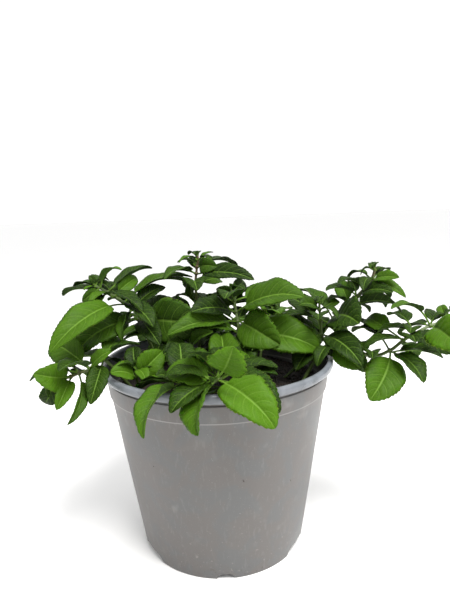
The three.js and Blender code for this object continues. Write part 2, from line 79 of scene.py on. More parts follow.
class MintPotSettings(bpy.types.PropertyGroup):
    """The sizes and colours of the nursery pot."""

    height: FloatProperty(
        name="Height",
        description="From the surface to the top of the lip",
        unit="LENGTH",
        default=POT_HIGH.z,
    )
    rim_radius: FloatProperty(
        name="Rim radius", description="Outside the rolled lip", unit="LENGTH", default=POT_HIGH.x
    )
    foot_radius: FloatProperty(
        name="Foot radius", description="Outside the foot ring", unit="LENGTH", default=68 * MM
    )
    arch_width: FloatProperty(
        name="Arch width", description="Width of a foot arch", unit="LENGTH", default=30 * MM
    )
    arch_height: FloatProperty(
        name="Arch height", description="Height of a foot arch", unit="LENGTH", default=5.8 * MM
    )
    slot_width: FloatProperty(
        name="Slot width", description="Width of a drain slot", unit="LENGTH", default=12 * MM
    )
    slot_height: FloatProperty(
        name="Slot height", description="Height of a drain slot", unit="LENGTH", default=4 * MM
    )
    sides: IntProperty(name="Sides", description="Faces round the pot", default=240, min=24)
    wall_colour: FloatVectorProperty(
        name="Wall",
        description="Colour of the moulded wall",
        subtype="COLOR",
        default=(0.088, 0.081, 0.077),
    )
    lip_colour: FloatVectorProperty(
        name="Lip",
        description="Colour of the rolled lip",
        subtype="COLOR",
        default=(0.13, 0.142, 0.158),
    )


class MintSoilSettings(bpy.types.PropertyGroup):
    """The surface and the crumbs of the potting soil."""

    lump_height: FloatProperty(
        name="Lump height",
        description="How high the surface's lumps stand",
        unit="LENGTH",
        default=2.6 * MM,
    )
    crumb_size: FloatProperty(
        name="Crumb size", description="Radius of a middling crumb", unit="LENGTH", default=1.1 * MM
    )
    crumb_density: FloatProperty(
        name="Crumbs", description="Crumbs on a square metre of soil", default=90000, min=0
    )
    bark_density: FloatProperty(
        name="Bark", description="Bark slivers on a square metre of soil", default=9000, min=0
    )
    seed: IntProperty(name="Seed", description="Places the crumbs", default=7)
    dark: FloatVectorProperty(
        name="Damp soil",
        description="Colour of the damp soil",
        subtype="COLOR",
        default=(0.006, 0.0045, 0.0035),
    )
    light: FloatVectorProperty(
        name="Bark",
        description="Colour of the bark and fibre",
        subtype="COLOR",
        default=(0.034, 0.02, 0.011),
    )


class MintStemSettings(bpy.types.PropertyGroup):
    """The square stems and their swollen joints."""

    squareness: FloatProperty(
        name="Squareness",
        description="How far the four corners stand out",
        default=0.13,
        min=0,
        max=0.3,
    )
    joint_height: FloatProperty(
        name="Joint height", description="Height of a swollen joint", unit="LENGTH", default=2.6 * MM
    )
    green: FloatVectorProperty(
        name="Green",
        description="Colour of the young stem",
        subtype="COLOR",
        default=(0.06, 0.10, 0.014),
    )
    flush: FloatVectorProperty(
        name="Flush",
        description="Colour where the stem reddens",
        subtype="COLOR",
        default=(0.06, 0.024, 0.009),
    )


class MintLeafSettings(bpy.types.PropertyGroup):
    """The blades, their teeth, veins and greens."""

    thickness: FloatProperty(
        name="Thickness", description="Thickness of the blade", unit="LENGTH", default=0.32 * MM
    )
    row_length: FloatProperty(
        name="Row", description="Length of one row of faces", unit="LENGTH", default=0.8 * MM
    )
    tooth_length: FloatProperty(
        name="Tooth length",
        description="Length of a tooth of the margin",
        unit="LENGTH",
        default=2.7 * MM,
    )
    tooth_depth: FloatProperty(
        name="Tooth depth",
        description="Depth of a tooth of the margin",
        unit="LENGTH",
        default=0.7 * MM,
    )
    quilting: FloatProperty(
        name="Quilting",
        description="Rise of the blade between its veins",
        unit="LENGTH",
        default=1.25 * MM,
    )
    veins: FloatProperty(
        name="Veins",
        description="Side veins on each half of a blade",
        default=6.5,
        min=2,
    )
    shade: FloatVectorProperty(
        name="Shade",
        description="Colour of the darkest leaves",
        subtype="COLOR",
        default=(0.0015, 0.006, 0.001),
    )
    fresh: FloatVectorProperty(
        name="Fresh",
        description="Colour of the brightest leaves",
        subtype="COLOR",
        default=(0.044, 0.106, 0.004),
    )
    vein: FloatVectorProperty(
        name="Vein", description="Colour of the veins", subtype="COLOR", default=(0.12, 0.22, 0.03)
    )
    under: FloatVectorProperty(
        name="Underside",
        description="Colour of the matt underside",
        subtype="COLOR",
        default=(0.034, 0.06, 0.02),
    )


class MintStageSettings(bpy.types.PropertyGroup):
    """The camera, the floor and the light."""

    lens: FloatProperty(name="Lens", description="Focal length", unit="CAMERA", default=30)
    distance: FloatProperty(
        name="Distance", description="From the camera to the pot's axis", unit="LENGTH", default=0.4044
    )
    eye: FloatProperty(
        name="Eye height", description="The camera above the surface", unit="LENGTH", default=0.2724
    )
    pitch: FloatProperty(name="Pitch", description="Looking down", subtype="ANGLE", default=0.172)
    yaw: FloatProperty(name="Yaw", description="Turned to the left", subtype="ANGLE", default=-0.020)
    roll: FloatProperty(name="Roll", description="Rolled to the left", subtype="ANGLE", default=-0.036)
    key_power: FloatProperty(
        name="Key light",
        description="Power of the key light",
        unit="POWER",
        default=30,
    )
    fill_power: FloatProperty(
        name="Fill light",
        description="Power of the fill light",
        unit="POWER",
        default=2,
    )
    sky: FloatProperty(name="Surround", description="Brightness of the surround", default=1.08)


# ---- The plant's layout, in millimetres ----


def leaf(bearing, rise, length, width, arch, roll, fold=20, stalk=0.15, tone=None):
    """One leaf of a joint. The line from the stem to its tip has a bearing and a rise; its midrib arches
    above that line, its roll turns it about the line, its halves fold up, and its stalk is a share of its
    length. A tone sets how fresh its green is, from 0 to 1."""
    names = ("bearing", "rise", "length", "width", "arch", "roll", "fold", "stalk", "tone")
    return dict(zip(names, (bearing, rise, length, width, arch, roll, fold, stalk, tone)))


def joint(at, *leaves):
    """A place on a stem where a swollen joint holds leaves."""
    return {"at": at, "leaves": leaves, "young": False}


def young_joint(at, *leaves):
    """A place near a tip, where the leaves are still part of the stem's piece."""
    return {"at": at, "leaves": leaves, "young": True}


def shoot(name, thickness, root, joints, tip, flush=0.3):
    """A stem from its root to its tip. Where all its joints are young, it is one piece with its leaves."""
    young = all(each["young"] for each in joints)
    keys = ("name", "thickness", "root", "joints", "tip", "young", "flush")
    return dict(zip(keys, (name, thickness, root, joints, tip, young, flush)))


# ---- The shoots, from root to tip ----

SHOOTS = [
    shoot("front_low_sprout", 2.4, (-24, -50, 122), [
        young_joint(
            (-25, -75, 158),
            leaf(240, -20, 50, 24, 8, 20, 40, tone=0.62),
            leaf(300, -20, 16, 11, 2, 20),
        ),
        young_joint((-33, -72, 160), leaf(235, 30, 16, 11, 2, -30), leaf(160, -10, 24, 14, 3, 10)),
    ], (-37, -71, 162)),
    shoot("front_rosette", 2.8, (4, -30, 122), [
        joint(
            (3, -58, 148),
            leaf(90, 35, 54, 26, 3, 0, 30, tone=0.5),
            leaf(300, 0, 18, 12, 2, 0),
            leaf(200, -10, 32, 20, 3, 0),
        ),
        joint(
            (1, -70, 158),
            leaf(315, -10, 50, 32, 6, 30, tone=0.2),
            leaf(140, 10, 40, 26, 5, -30),
            leaf(55, 5, 30, 18, 3, 0),
        ),
        joint(
            (-1, -80, 162),
            leaf(315, -30, 52, 32, 6, 20, tone=0.95),
            leaf(185, 0, 32, 24, 4, -40, tone=0.68),
        ),
        joint(
            (-3, -89, 164),
            leaf(295, 45, 38, 26, 3, 140, 14, 0.42, tone=0.75),
            leaf(250, -35, 38, 27, 5, 30, 30, tone=0.62),
        ),
    ], (-4, -95, 164), flush=0.15),
    shoot("right_mid", 2.6, (44, 0, 122), [
        joint(
            (85, 0, 161),
            leaf(235, -20, 34, 22, 4, -10, tone=0.2),
            leaf(200, -5, 34, 20, 3, 0),
            leaf(300, -10, 42, 27, 6, 30, tone=0.2),
        ),
        joint(
            (87, 0, 170),
            leaf(295, -35, 50, 24, 5, 20, tone=0.15),
            leaf(230, -5, 20, 14, 2, -60),
            leaf(70, 0, 34, 20, 3, 0),
        ),
        joint((87, 0, 182), leaf(120, 20, 40, 20, 5, -30), leaf(30, -45, 42, 22, 5, 60)),
        joint((86, 0, 191), leaf(215, 20, 22, 15, 3, -40), leaf(30, 15, 20, 11, 2, 30)),
        young_joint((86, 0, 196), leaf(75, 20, 10, 7, 1, 10)),
    ], (86, 0, 199)),
    shoot("left_arching", 2.8, (-46, 22, 122), [
        joint(
            (-64, 12, 187),
            leaf(330, 0, 58, 38, 3, 75, 12, tone=0.34),
            leaf(210, -20, 60, 30, 9, -40, tone=0.42),
            leaf(300, -20, 38, 20, 4, 20),
            leaf(115, -10, 38, 22, 4, 0),
        ),
        joint((-70, 8, 196), leaf(255, -50, 32, 16, 3, 30, 45), leaf(35, 25, 34, 16, 4, 30)),
        joint(
            (-76, 6, 202),
            leaf(235, -15, 76, 26, 12, -30, 20, 0.22, tone=0.6),
            leaf(35, 10, 66, 22, 8, 0),
        ),
        joint((-83, 4, 208), leaf(55, 20, 28, 13, 3, 60), leaf(240, -5, 26, 11, 6, 0)),
        joint((-88, 2, 212), leaf(45, 20, 48, 16, 3, 0, 40), leaf(255, -20, 20, 9, 3, 0)),
        young_joint((-93, 0, 216), leaf(325, 35, 30, 11, 6, 0), leaf(230, -35, 18, 9, 3, -60)),
        young_joint((-96, -1, 218), leaf(230, -5, 12, 6, 1, 0), leaf(185, 60, 10, 6, 1, -80)),
    ], (-98, -2, 220), flush=0.25),
    shoot("right_long", 3, (60, -22, 122), [
        joint((88, -20, 166), leaf(315, -35, 28, 19, 3, 60), leaf(340, -5, 32, 12, 6, 0)),
        joint((121, -24, 157), leaf(110, 0, 32, 14, 5, 0), leaf(40, -35, 22, 14, 2, 0)),
        joint(
            (136, -26, 161),
            leaf(230, -35, 46, 30, 4, -30, 12, tone=0.6),
            leaf(115, 5, 46, 20, 8, 0, 20, 0.3),
        ),
        joint((146, -27, 169), leaf(115, 15, 42, 18, 5, -30, 20, 0.3), leaf(50, -40, 30, 17, 3, 0)),
        joint((155, -27, 174), leaf(105, 15, 34, 17, 6, 0, 20, 0.3), leaf(15, -40, 36, 17, 5, -80)),
        joint((167, -27, 180), leaf(200, 25, 40, 15, 8, 0, 20, 0.3), leaf(275, -10, 42, 28, 5, 50)),
        young_joint((181, -26, 183), leaf(90, 40, 16, 9, 3, -30), leaf(280, -5, 26, 15, 4, 0)),
        young_joint((188, -25, 185), leaf(305, 20, 14, 8, 2, 0), leaf(85, 40, 12, 7, 2, 0)),
    ], (192, -25, 186), flush=0.25),
    shoot("centre", 3, (12, 8, 122), [
        joint(
            (18, 2, 174),
            leaf(345, -20, 66, 36, 8, 40, tone=0.6),
            leaf(220, 5, 36, 22, 4, -30),
            leaf(20, -10, 38, 22, 4, 0),
            leaf(85, -5, 36, 22, 4, 0),
        ),
        joint(
            (18, 4, 183),
            leaf(210, -5, 64, 24, 5, -30, 30, tone=0.45),
            leaf(310, -15, 44, 34, 5, 60, tone=0.48),
            leaf(75, 10, 32, 18, 3, 0),
        ),
        joint((17, 6, 191), leaf(330, 5, 60, 34, 5, 40, tone=0.5), leaf(220, 10, 44, 24, 3, -40)),
        joint((16, 8, 200), leaf(5, 0, 48, 24, 3, 40), leaf(150, 5, 26, 16, 3, 0)),
        young_joint((14, 8, 206), leaf(50, 25, 20, 12, 2, 50), leaf(215, 20, 16, 10, 2, -90)),
    ], (14, 8, 211), flush=0.2),
    shoot("right_tall", 3, (62, 20, 122), [
        joint(
            (101, 14, 180),
            leaf(285, -15, 40, 36, 5, 40, tone=0.22),
            leaf(125, 25, 46, 20, 8, 0),
            leaf(50, -15, 36, 20, 4, 0),
        ),
        joint((114, 12, 191), leaf(100, 40, 26, 15, 2, -30), leaf(305, 5, 50, 18, 8, -40)),
        joint((120, 10, 199), leaf(300, 15, 36, 16, 5, 40), leaf(95, 30, 20, 10, 4, 0)),
        joint((126, 8, 206), leaf(300, -10, 34, 13, 8, 30), leaf(110, 5, 18, 10, 3, 0)),
        joint((131, 6, 214), leaf(300, 10, 26, 13, 3, 40), leaf(125, -5, 24, 10, 6, 0)),
        young_joint((133, 5, 221), leaf(90, 40, 10, 6, 1, -20), leaf(20, 10, 10, 6, 1, 0)),
    ], (133, 5, 225), flush=0.6),
    shoot("left_trailing", 2.6, (-58, -20, 122), [
        joint(
            (-88, -28, 164),
            leaf(265, -40, 36, 17, 4, -20),
            leaf(70, 15, 30, 18, 4, 20),
            leaf(150, 25, 32, 20, 3, 0),
        ),
        joint((-98, -32, 158), leaf(145, 20, 44, 26, 6, -50, tone=0.55), leaf(0, 35, 22, 13, 3, 50)),
        joint((-106, -35, 156), leaf(270, -35, 42, 12, 5, -60, 40), leaf(135, 20, 34, 20, 3, 50)),
        joint((-112, -37, 154), leaf(260, -30, 28, 14, 4, -30, 30), leaf(240, 20, 32, 22, 3, -90)),
        young_joint((-117, -38, 153), leaf(175, -50, 26, 16, 4, -100), leaf(135, 30, 16, 11, 2, 0)),
    ], (-120, -39, 153), flush=0.55),
    shoot("back_tall", 2.8, (-14, 40, 122), [
        joint(
            (-18, 42, 179),
            leaf(140, 20, 40, 20, 4, -30),
            leaf(0, 15, 56, 26, 4, 0),
            leaf(240, -15, 38, 22, 4, 0),
            leaf(95, -15, 36, 22, 4, 0),
        ),
        joint(
            (-17, 42, 193),
            leaf(250, 60, 24, 13, 2, 150),
            leaf(300, -35, 22, 13, 3, 20),
            leaf(65, 0, 34, 20, 3, 0),
        ),
        joint((-17, 42, 211), leaf(160, -5, 54, 21, 7, 0), leaf(40, 0, 28, 17, 4, 40)),
        joint((-16, 42, 220), leaf(225, -5, 38, 16, 6, 0), leaf(325, 0, 56, 19, 4, 40)),
        joint((-15, 42, 226), leaf(325, 0, 20, 15, 3, 80), leaf(35, -5, 44, 19, 7, 0)),
        young_joint((-14, 42, 232), leaf(215, 0, 20, 7, 4, 0), leaf(35, 20, 18, 7, 2, 0)),
    ], (-14, 42, 237), flush=0.8),
    shoot("front_left_sprout", 2.2, (-58, -36, 122), [
        young_joint((-61, -45, 154), leaf(220, 25, 22, 17, 3, -40), leaf(20, 40, 27, 21, 4, 70)),
        young_joint((-60, -46, 160), leaf(105, 45, 21, 14, 2, -10), leaf(300, -15, 17, 11, 3, 10)),
    ], (-60, -46, 164)),
    shoot("front_right_sprout", 2.2, (28, -36, 122), [
        young_joint((25, -52, 148), leaf(335, 40, 24, 20, 4, 50), leaf(115, 45, 33, 17, 2, 20)),
        young_joint((25, -53, 154), leaf(300, -20, 18, 12, 3, 20), leaf(95, 45, 20, 12, 2, -10)),
    ], (25, -53, 158)),
    shoot("centre_left_sprout", 2.4, (-22, -14, 122), [
        young_joint((-22, -16, 160), leaf(230, 10, 30, 22, 4, -30), leaf(50, 0, 20, 14, 3, 0)),
        young_joint((-21, -16, 167), leaf(215, 20, 30, 20, 4, -40), leaf(330, 45, 25, 14, 3, 60, 40)),
    ], (-20, -16, 173)),
    shoot("back_left", 2.6, (-42, 52, 122), [
        joint((-50, 60, 154), leaf(120, 5, 42, 24, 8, 0), leaf(190, 10, 36, 22, 5, 0)),
        joint(
            (-58, 72, 162),
            leaf(70, 5, 38, 22, 5, 0),
            leaf(215, -5, 40, 22, 6, 0),
            leaf(300, 5, 34, 20, 3, 0),
        ),
        joint(
            (-62, 78, 171),
            leaf(140, 15, 32, 18, 4, 0),
            leaf(340, 15, 34, 18, 4, 0),
            leaf(245, 15, 28, 16, 3, 0),
        ),
        young_joint((-65, 82, 178), leaf(60, 30, 16, 9, 2, 0), leaf(230, 20, 14, 8, 2, 0)),
    ], (-66, 84, 183)),
    shoot("back_right", 2.6, (38, 50, 122), [
        joint((44, 62, 148), leaf(75, 5, 42, 26, 6, 0), leaf(350, 10, 38, 22, 5, 0)),
        joint(
            (50, 70, 160),
            leaf(20, 0, 40, 23, 6, 0),
            leaf(165, 10, 38, 22, 5, 0),
            leaf(290, 0, 34, 20, 3, 0),
        ),
        joint(
            (54, 77, 169),
            leaf(95, 15, 32, 18, 4, 0),
            leaf(280, 20, 30, 17, 4, 0),
            leaf(45, 10, 32, 18, 3, 0),
        ),
        young_joint((57, 82, 176), leaf(30, 30, 16, 9, 2, 0), leaf(190, 20, 14, 8, 2, 0)),
    ], (58, 84, 181)),
    shoot("back_sprout", 2.2, (0, 68, 122), [
        young_joint(
            (0, 80, 148),
            leaf(95, 10, 34, 22, 6, 0),
            leaf(355, 20, 24, 16, 3, 0),
            leaf(240, 5, 28, 17, 3, 0),
        ),
        young_joint(
            (0, 84, 157),
            leaf(170, 15, 28, 18, 4, 0),
            leaf(60, 25, 22, 14, 3, 0),
            leaf(110, 30, 20, 13, 2, 0),
        ),
    ], (0, 86, 163)),
]


# ---- Node trees written as expressions ----


class Wire:
    """An output socket. Sums and products of wires and numbers add Math nodes to its tree."""

    def __init__(self, tree, socket):
        self.tree = tree
        self.socket = socket

    def __add__(self, other):
        return self.tree.maths("ADD", self, other)

    def __sub__(self, other):
        return self.tree.maths("SUBTRACT", self, other)

    def __rsub__(self, other):
        return self.tree.maths("SUBTRACT", other, self)

    def __mul__(self, other):
        return self.tree.maths("MULTIPLY", self, other)

    def __truediv__(self, other):
        return self.tree.maths("DIVIDE", self, other)

    def __pow__(self, power):
        return self.tree.maths("POWER", self, power)

    __radd__ = __add__
    __rmul__ = __mul__

    def also(self, name):
        """Another output of the same node."""
        return Wire(self.tree, self.socket.node.outputs[name])


class Tree:
    """A node tree that is being filled."""

    def __init__(self, tree):
        self.tree = tree

    def add(self, kind, settings=None, inputs=None, output=0):
        """A new node: its settings are set first, then the values or wires of its inputs."""
        node = self.tree.nodes.new(kind)
        for name, value in (settings or {}).items():
            setattr(node, name, value)
        for key, value in (inputs or {}).items():
            self.feed(node.inputs[key], value)
        return Wire(self, node.outputs[output]) if len(node.outputs) else node

    def feed(self, socket, value):
        """Gives an input its value or its wire. An input that joins takes a list of wires."""
        if isinstance(value, list):
            for each in value:
                self.feed(socket, each)
        elif isinstance(value, Wire):
            self.tree.links.new(value.socket, socket)
        else:
            socket.default_value = value

    def maths(self, operation, *values):
        """A Math node on wires and numbers."""
        return self.add("ShaderNodeMath", {"operation": operation}, dict(enumerate(values)))

    def smooth(self, value, low, high):
        """0 below low and 1 above high, with an eased step between them."""
        settings = {"interpolation_type": "SMOOTHSTEP", "clamp": True}
        return self.add("ShaderNodeMapRange", settings, {"Value": value, "From Min": low, "From Max": high})

    def mixed(self, share, first, second):
        """One colour turning into another."""
        colours = [c if isinstance(c, Wire) else (*c, 1) for c in (first, second)]
        inputs = {0: share, 6: colours[0], 7: colours[1]}
        return self.add("ShaderNodeMix", {"data_type": "RGBA"}, inputs, 2)

    def place(self, scale=(1, 1, 1)):
        """Where a point is on the object, stretched along the axes."""
        here = self.add("ShaderNodeTexCoord", output="Object")
        if scale == (1, 1, 1):
            return here
        return self.add("ShaderNodeMapping", {}, {"Vector": here, "Scale": scale})

    def noise(self, scale, detail, distortion=0.0):
        """A cloudy pattern. Its scale is how many clouds lie on a metre."""
        inputs = {"Vector": self.place(), "Scale": scale, "Detail": detail, "Distortion": distortion}
        return self.add("ShaderNodeTexNoise", {}, inputs)

    def drawn_noise(self, scale, detail):
        """A cloudy pattern with a scale of its own along each axis, as drawn or brushed surfaces have."""
        inputs = {"Vector": self.place(scale), "Scale": 1, "Detail": detail}
        return self.add("ShaderNodeTexNoise", {}, inputs)

    def spots(self, scale, detail, low, high):
        """Soft spots, where a cloudy pattern passes from low to high."""
        return self.smooth(self.noise(scale, detail), low, high)

    def painted(self, name):
        """A number that the piece's points carry."""
        return self.add("ShaderNodeAttribute", {"attribute_name": name}, output="Fac")

    def bump(self, height, distance, strength):
        """The normal of a surface with a fine relief."""
        inputs = {"Height": height, "Distance": distance, "Strength": strength}
        return self.add("ShaderNodeBump", {}, inputs)


def material(name, paint):
    """A material whose surface is filled in by paint, which returns the values of the shader's inputs."""
    made = bpy.data.materials.new(name)
    made.use_nodes = True
    made.node_tree.nodes.clear()
    tree = Tree(made.node_tree)
    surface = tree.add("ShaderNodeBsdfPrincipled", {}, paint(tree))
    tree.add("ShaderNodeOutputMaterial", {}, {"Surface": surface})
    return made


def geometry_tree(name, numbers, fill):
    """A geometry node tree with named number inputs. fill returns the wire of the finished geometry."""
    made = bpy.data.node_groups.new(name, "GeometryNodeTree")
    made.interface.new_socket("Geometry", in_out="INPUT", socket_type="NodeSocketGeometry")
    for label, kind in numbers.items():
        made.interface.new_socket(label, in_out="INPUT", socket_type=kind)
    made.interface.new_socket("Geometry", in_out="OUTPUT", socket_type="NodeSocketGeometry")
    tree = Tree(made)
    entry = tree.add("NodeGroupInput")
    tree.add("NodeGroupOutput", {}, {"Geometry": fill(tree, entry)})
    return made


def grown(mesh, tree, values):
    """The plain mesh that a geometry node tree makes of a mesh."""
    holder = bpy.data.objects.new("holder", mesh)
    bpy.context.scene.collection.objects.link(holder)
    modifier = holder.modifiers.new("Nodes", "NODES")
    modifier.node_group = tree
    for item in tree.interface.items_tree:
        if item.in_out == "INPUT" and item.name in values:
            modifier[item.identifier] = values[item.name]
    graph = bpy.context.evaluated_depsgraph_get()
    result = bpy.data.meshes.new_from_object(holder.evaluated_get(graph), depsgraph=graph)
    bpy.data.objects.remove(holder)
    return result


def shown_piece(name, mesh, nodes):
    """A finished piece that rides on the frame and stands for its CAD nodes."""
    piece = bpy.data.objects.new(name, mesh)
    bpy.context.scene.collection.objects.link(piece)
    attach(piece, "root")
    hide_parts(*nodes)
    return piece


# ---- Materials ----

# Heights on the pot, in millimetres, where a pale line is painted along an edge as its highlight.
POT_STEP = 133.2
POT_SKIRT_TOP = 148.0
LIP_FADE = (6.6 * MM, 5.8 * MM)  # how far below the rim the lip's plastic begins and is complete

# What lies on the pot's plastic.
COOL_PATCH = (0.078, 0.082, 0.084)
BRUSHED = (0.16, 0.16, 0.155)
SCUFFED = (0.2, 0.2, 0.193)
SMUDGED = (0.17, 0.165, 0.155)
SPECKED = (0.26, 0.25, 0.235)
DUSTY = (0.21, 0.2, 0.185)
SPLASHED = (0.05, 0.035, 0.025)
# The colour of the painted highlight along the step edges.
STEP_HIGHLIGHT = (0.26, 0.255, 0.245)
DUST_HEIGHTS = (90 * MM, 8 * MM)  # where the dust begins and is thickest
SPLASH_HEIGHTS = (16 * MM, 2 * MM)

STEM_GRAIN = (0.09, 0.13, 0.035)

STALK_SHARE = 0.2  # the part of a blade's map that its stalk takes
VEIN_CURVE = 1.35  # how the side veins bend towards the tip
VEIN_REACH = 0.24  # how far along the blade a side vein has run when it meets the margin


def shaded(colour, factor):
    """A colour made darker or lighter."""
    return [part * factor for part in colour]


def pot_material(settings):
    """Moulded plastic: clouded, scuffed and dusty, with a painted highlight along its steps, and smoother
    on the lip.
    """

    def paint(tree):
        height = tree.add("ShaderNodeSeparateXYZ", {}, {"Vector": tree.place()}, "Z")
        drawn = tree.drawn_noise((60, 60, 9), 4)
        cloud = tree.noise(22, 4, distortion=0.6)
        smudge = tree.spots(34, 5, 0.58, 0.76)
        marks = [
            (tree.smooth(tree.noise(48, 4, distortion=0.8), 0.42, 0.62) * 0.7, COOL_PATCH),
            (tree.smooth(tree.drawn_noise((420, 420, 90), 3), 0.56, 0.72) * 0.2, BRUSHED),
            (tree.spots(70, 2, 0.62, 0.8) * 0.3, SCUFFED),
            (smudge * 0.2, SMUDGED),
            (tree.spots(1400, 1, 0.735, 0.76) * 0.5, SPECKED),
            (tree.spots(330, 2, 0.66, 0.74) * tree.smooth(height, *DUST_HEIGHTS) * 0.4, DUSTY),
            (tree.spots(520, 2, 0.62, 0.68) * tree.smooth(height, *SPLASH_HEIGHTS) * 0.7, SPLASHED),
        ]
        plain = settings.wall_colour
        wall = tree.mixed(cloud * 0.6 + drawn * 0.4, shaded(plain, 0.88), shaded(plain, 1.12))
        for share, colour in marks:
            wall = tree.mixed(share, wall, colour)
        # A painted highlight: a pale line along each step edge, varied by the clouds.
        for level in (POT_STEP, POT_SKIRT_TOP):
            edge = 1 - tree.smooth(tree.maths("ABSOLUTE", height - level * MM), 0.25 * MM, 0.8 * MM)
            wall = tree.mixed(edge * (0.35 + cloud * 0.35), wall, STEP_HIGHLIGHT)
        streak = tree.smooth(tree.drawn_noise((70, 70, 14), 4), 0.42, 0.66)
        rolled = tree.mixed(streak * 0.55, settings.lip_colour, shaded(settings.lip_colour, 0.55))
        lip = tree.smooth(height, *(settings.height - below for below in LIP_FADE))
        return {
            "Base Color": tree.mixed(lip, wall, rolled),
            "Roughness": 0.36 + cloud * 0.16 + smudge * 0.14 - lip * 0.17,
            "Normal": tree.bump(tree.noise(2600, 2) * 0.6 + drawn * 0.4, 0.05 * MM, 0.5),
            "IOR": 1.49,
        }

    return material("moulded_grey_plastic", paint)


def soil_material(settings):
    """Damp potting soil, dark between lighter crumbs."""

    def paint(tree):
        grain = tree.noise(900, 4)
        clod = tree.noise(160, 3)
        crumbly = tree.smooth(grain * 0.6 + clod * 0.4, 0.4, 0.72)
        return {
            "Base Color": tree.mixed(crumbly, settings.dark, settings.light),
            "Roughness": 0.8 + clod * 0.18,
            "Normal": tree.bump(grain, 0.6 * MM, 0.9),
        }

    return material("damp_soil", paint)


def bark_material(settings):
    """The bark slivers in the soil, with their fibres drawn out."""

    def paint(tree):
        fibre = tree.drawn_noise((900, 900, 260), 4)
        colour = tree.mixed(fibre, settings.dark, shaded(settings.light, 1.6))
        return {"Base Color": colour, "Roughness": 0.86, "Normal": tree.bump(fibre, 0.3 * MM, 0.8)}

    return material("bark_fibre", paint)


def stem_material(settings):
    """A juicy stem that reddens as its points say."""

    def paint(tree):
        grain = tree.noise(420, 3)
        share = tree.smooth(tree.painted("flush") + (tree.noise(90, 2) - 0.5) * 0.7, 0.25, 0.85)
        colour = tree.mixed(share, settings.green, settings.flush)
        return {
            "Base Color": tree.mixed(grain * 0.3, colour, STEM_GRAIN),
            "Roughness": 0.42 + grain * 0.2,
            "Normal": tree.bump(grain, 0.15 * MM, 0.5),
            "Subsurface Weight": 0.1,
            "Subsurface Radius": (0.6, 1.0, 0.3),
            "Subsurface Scale": 0.6 * MM,
        }

    return material("square_stem", paint)


def vein_marks(tree, settings):
    """How much a point of a blade belongs to its midrib and to a side vein, how far it is from the midrib,
    and how far from the nearest side vein."""
    spread = tree.add(
        "ShaderNodeSeparateXYZ", {}, {"Vector": tree.add("ShaderNodeUVMap", {"uv_map": "blade"})}
    )
    along = (spread - STALK_SHARE) / (1 - STALK_SHARE)
    across = tree.maths("ABSOLUTE", spread.also("Y") * 2 - 1)
    midrib = 1 - tree.smooth(across, 0.015, 0.075)
    stalk = 1 - tree.smooth(along, -0.02, 0.06)
    phase = (along - across**VEIN_CURVE * VEIN_REACH) * settings.veins
    off = tree.maths("PINGPONG", phase, 0.5)
    side = (1 - tree.smooth(off, 0.01, 0.06)) * tree.smooth(across, 1.02, 0.55)
    return tree.maths("MAXIMUM", midrib, stalk), side, across, off


# How the two sides of a leaf differ. Each finish has the shares of the underside's own colour and of the
# veins' colour, the roughness, the reflection, and whether the veins stand out (1) or lie sunk (-1).
UPPER_SIDE = {"under": 0, "side": 0.36, "midrib": 0.6, "rough": 0.38, "specular": 0.06, "relief": -1}
UNDERSIDE = {"under": 0.62, "side": 0.5, "midrib": 0.7, "rough": 0.62, "specular": 0.04, "relief": 1}


def leaf_material(name, settings, finish):
    """One side of a leaf: its tone with cloudy patches and a painted highlight between its side veins, its
    veins, and the net of cells between them.
    """

    def paint(tree):
        midrib, side, across, off = vein_marks(tree, settings)
        patch = tree.noise(70, 3)
        inputs = {"Vector": tree.place(), "Scale": 620}
        cell = tree.add("ShaderNodeTexVoronoi", {"feature": "DISTANCE_TO_EDGE"}, inputs)
        # The blade is painted lighter away from its side veins: a painted highlight on the quilting that
        # rises between them, leaving painted shade in the grooves along them.
        share = tree.painted("tone") + (patch - 0.5) * 0.35 + tree.smooth(off, 0.06, 0.42) * 0.07
        colour = tree.mixed(tree.smooth(share, 0.0, 1.0), settings.shade, settings.fresh)
        if finish["under"]:
            colour = tree.mixed(finish["under"], colour, settings.under)
        net = 1 - tree.smooth(cell, 0.02, 0.2)
        margin = tree.smooth(across, 0.955, 0.995)
        for amount in (net * 0.10, side * finish["side"], midrib * finish["midrib"], margin * 0.25):
            colour = tree.mixed(amount, colour, settings.vein)
        relief = tree.maths("MINIMUM", cell, 0.3) * -finish["relief"] + tree.noise(1500, 2) * 0.1
        relief = relief + (side * 0.35 + midrib * 0.5) * finish["relief"]
        return {
            "Base Color": colour,
            "Roughness": finish["rough"] + patch * 0.14,
            "Normal": tree.bump(relief, 0.5 * MM, 0.5),
            "Specular IOR Level": finish["specular"],
            "Subsurface Weight": 0.1,
            "Subsurface Radius": (0.5, 1.0, 0.15),
            "Subsurface Scale": 0.8 * MM,
        }

    return material(name, paint)


# ---- Mesh tools ----


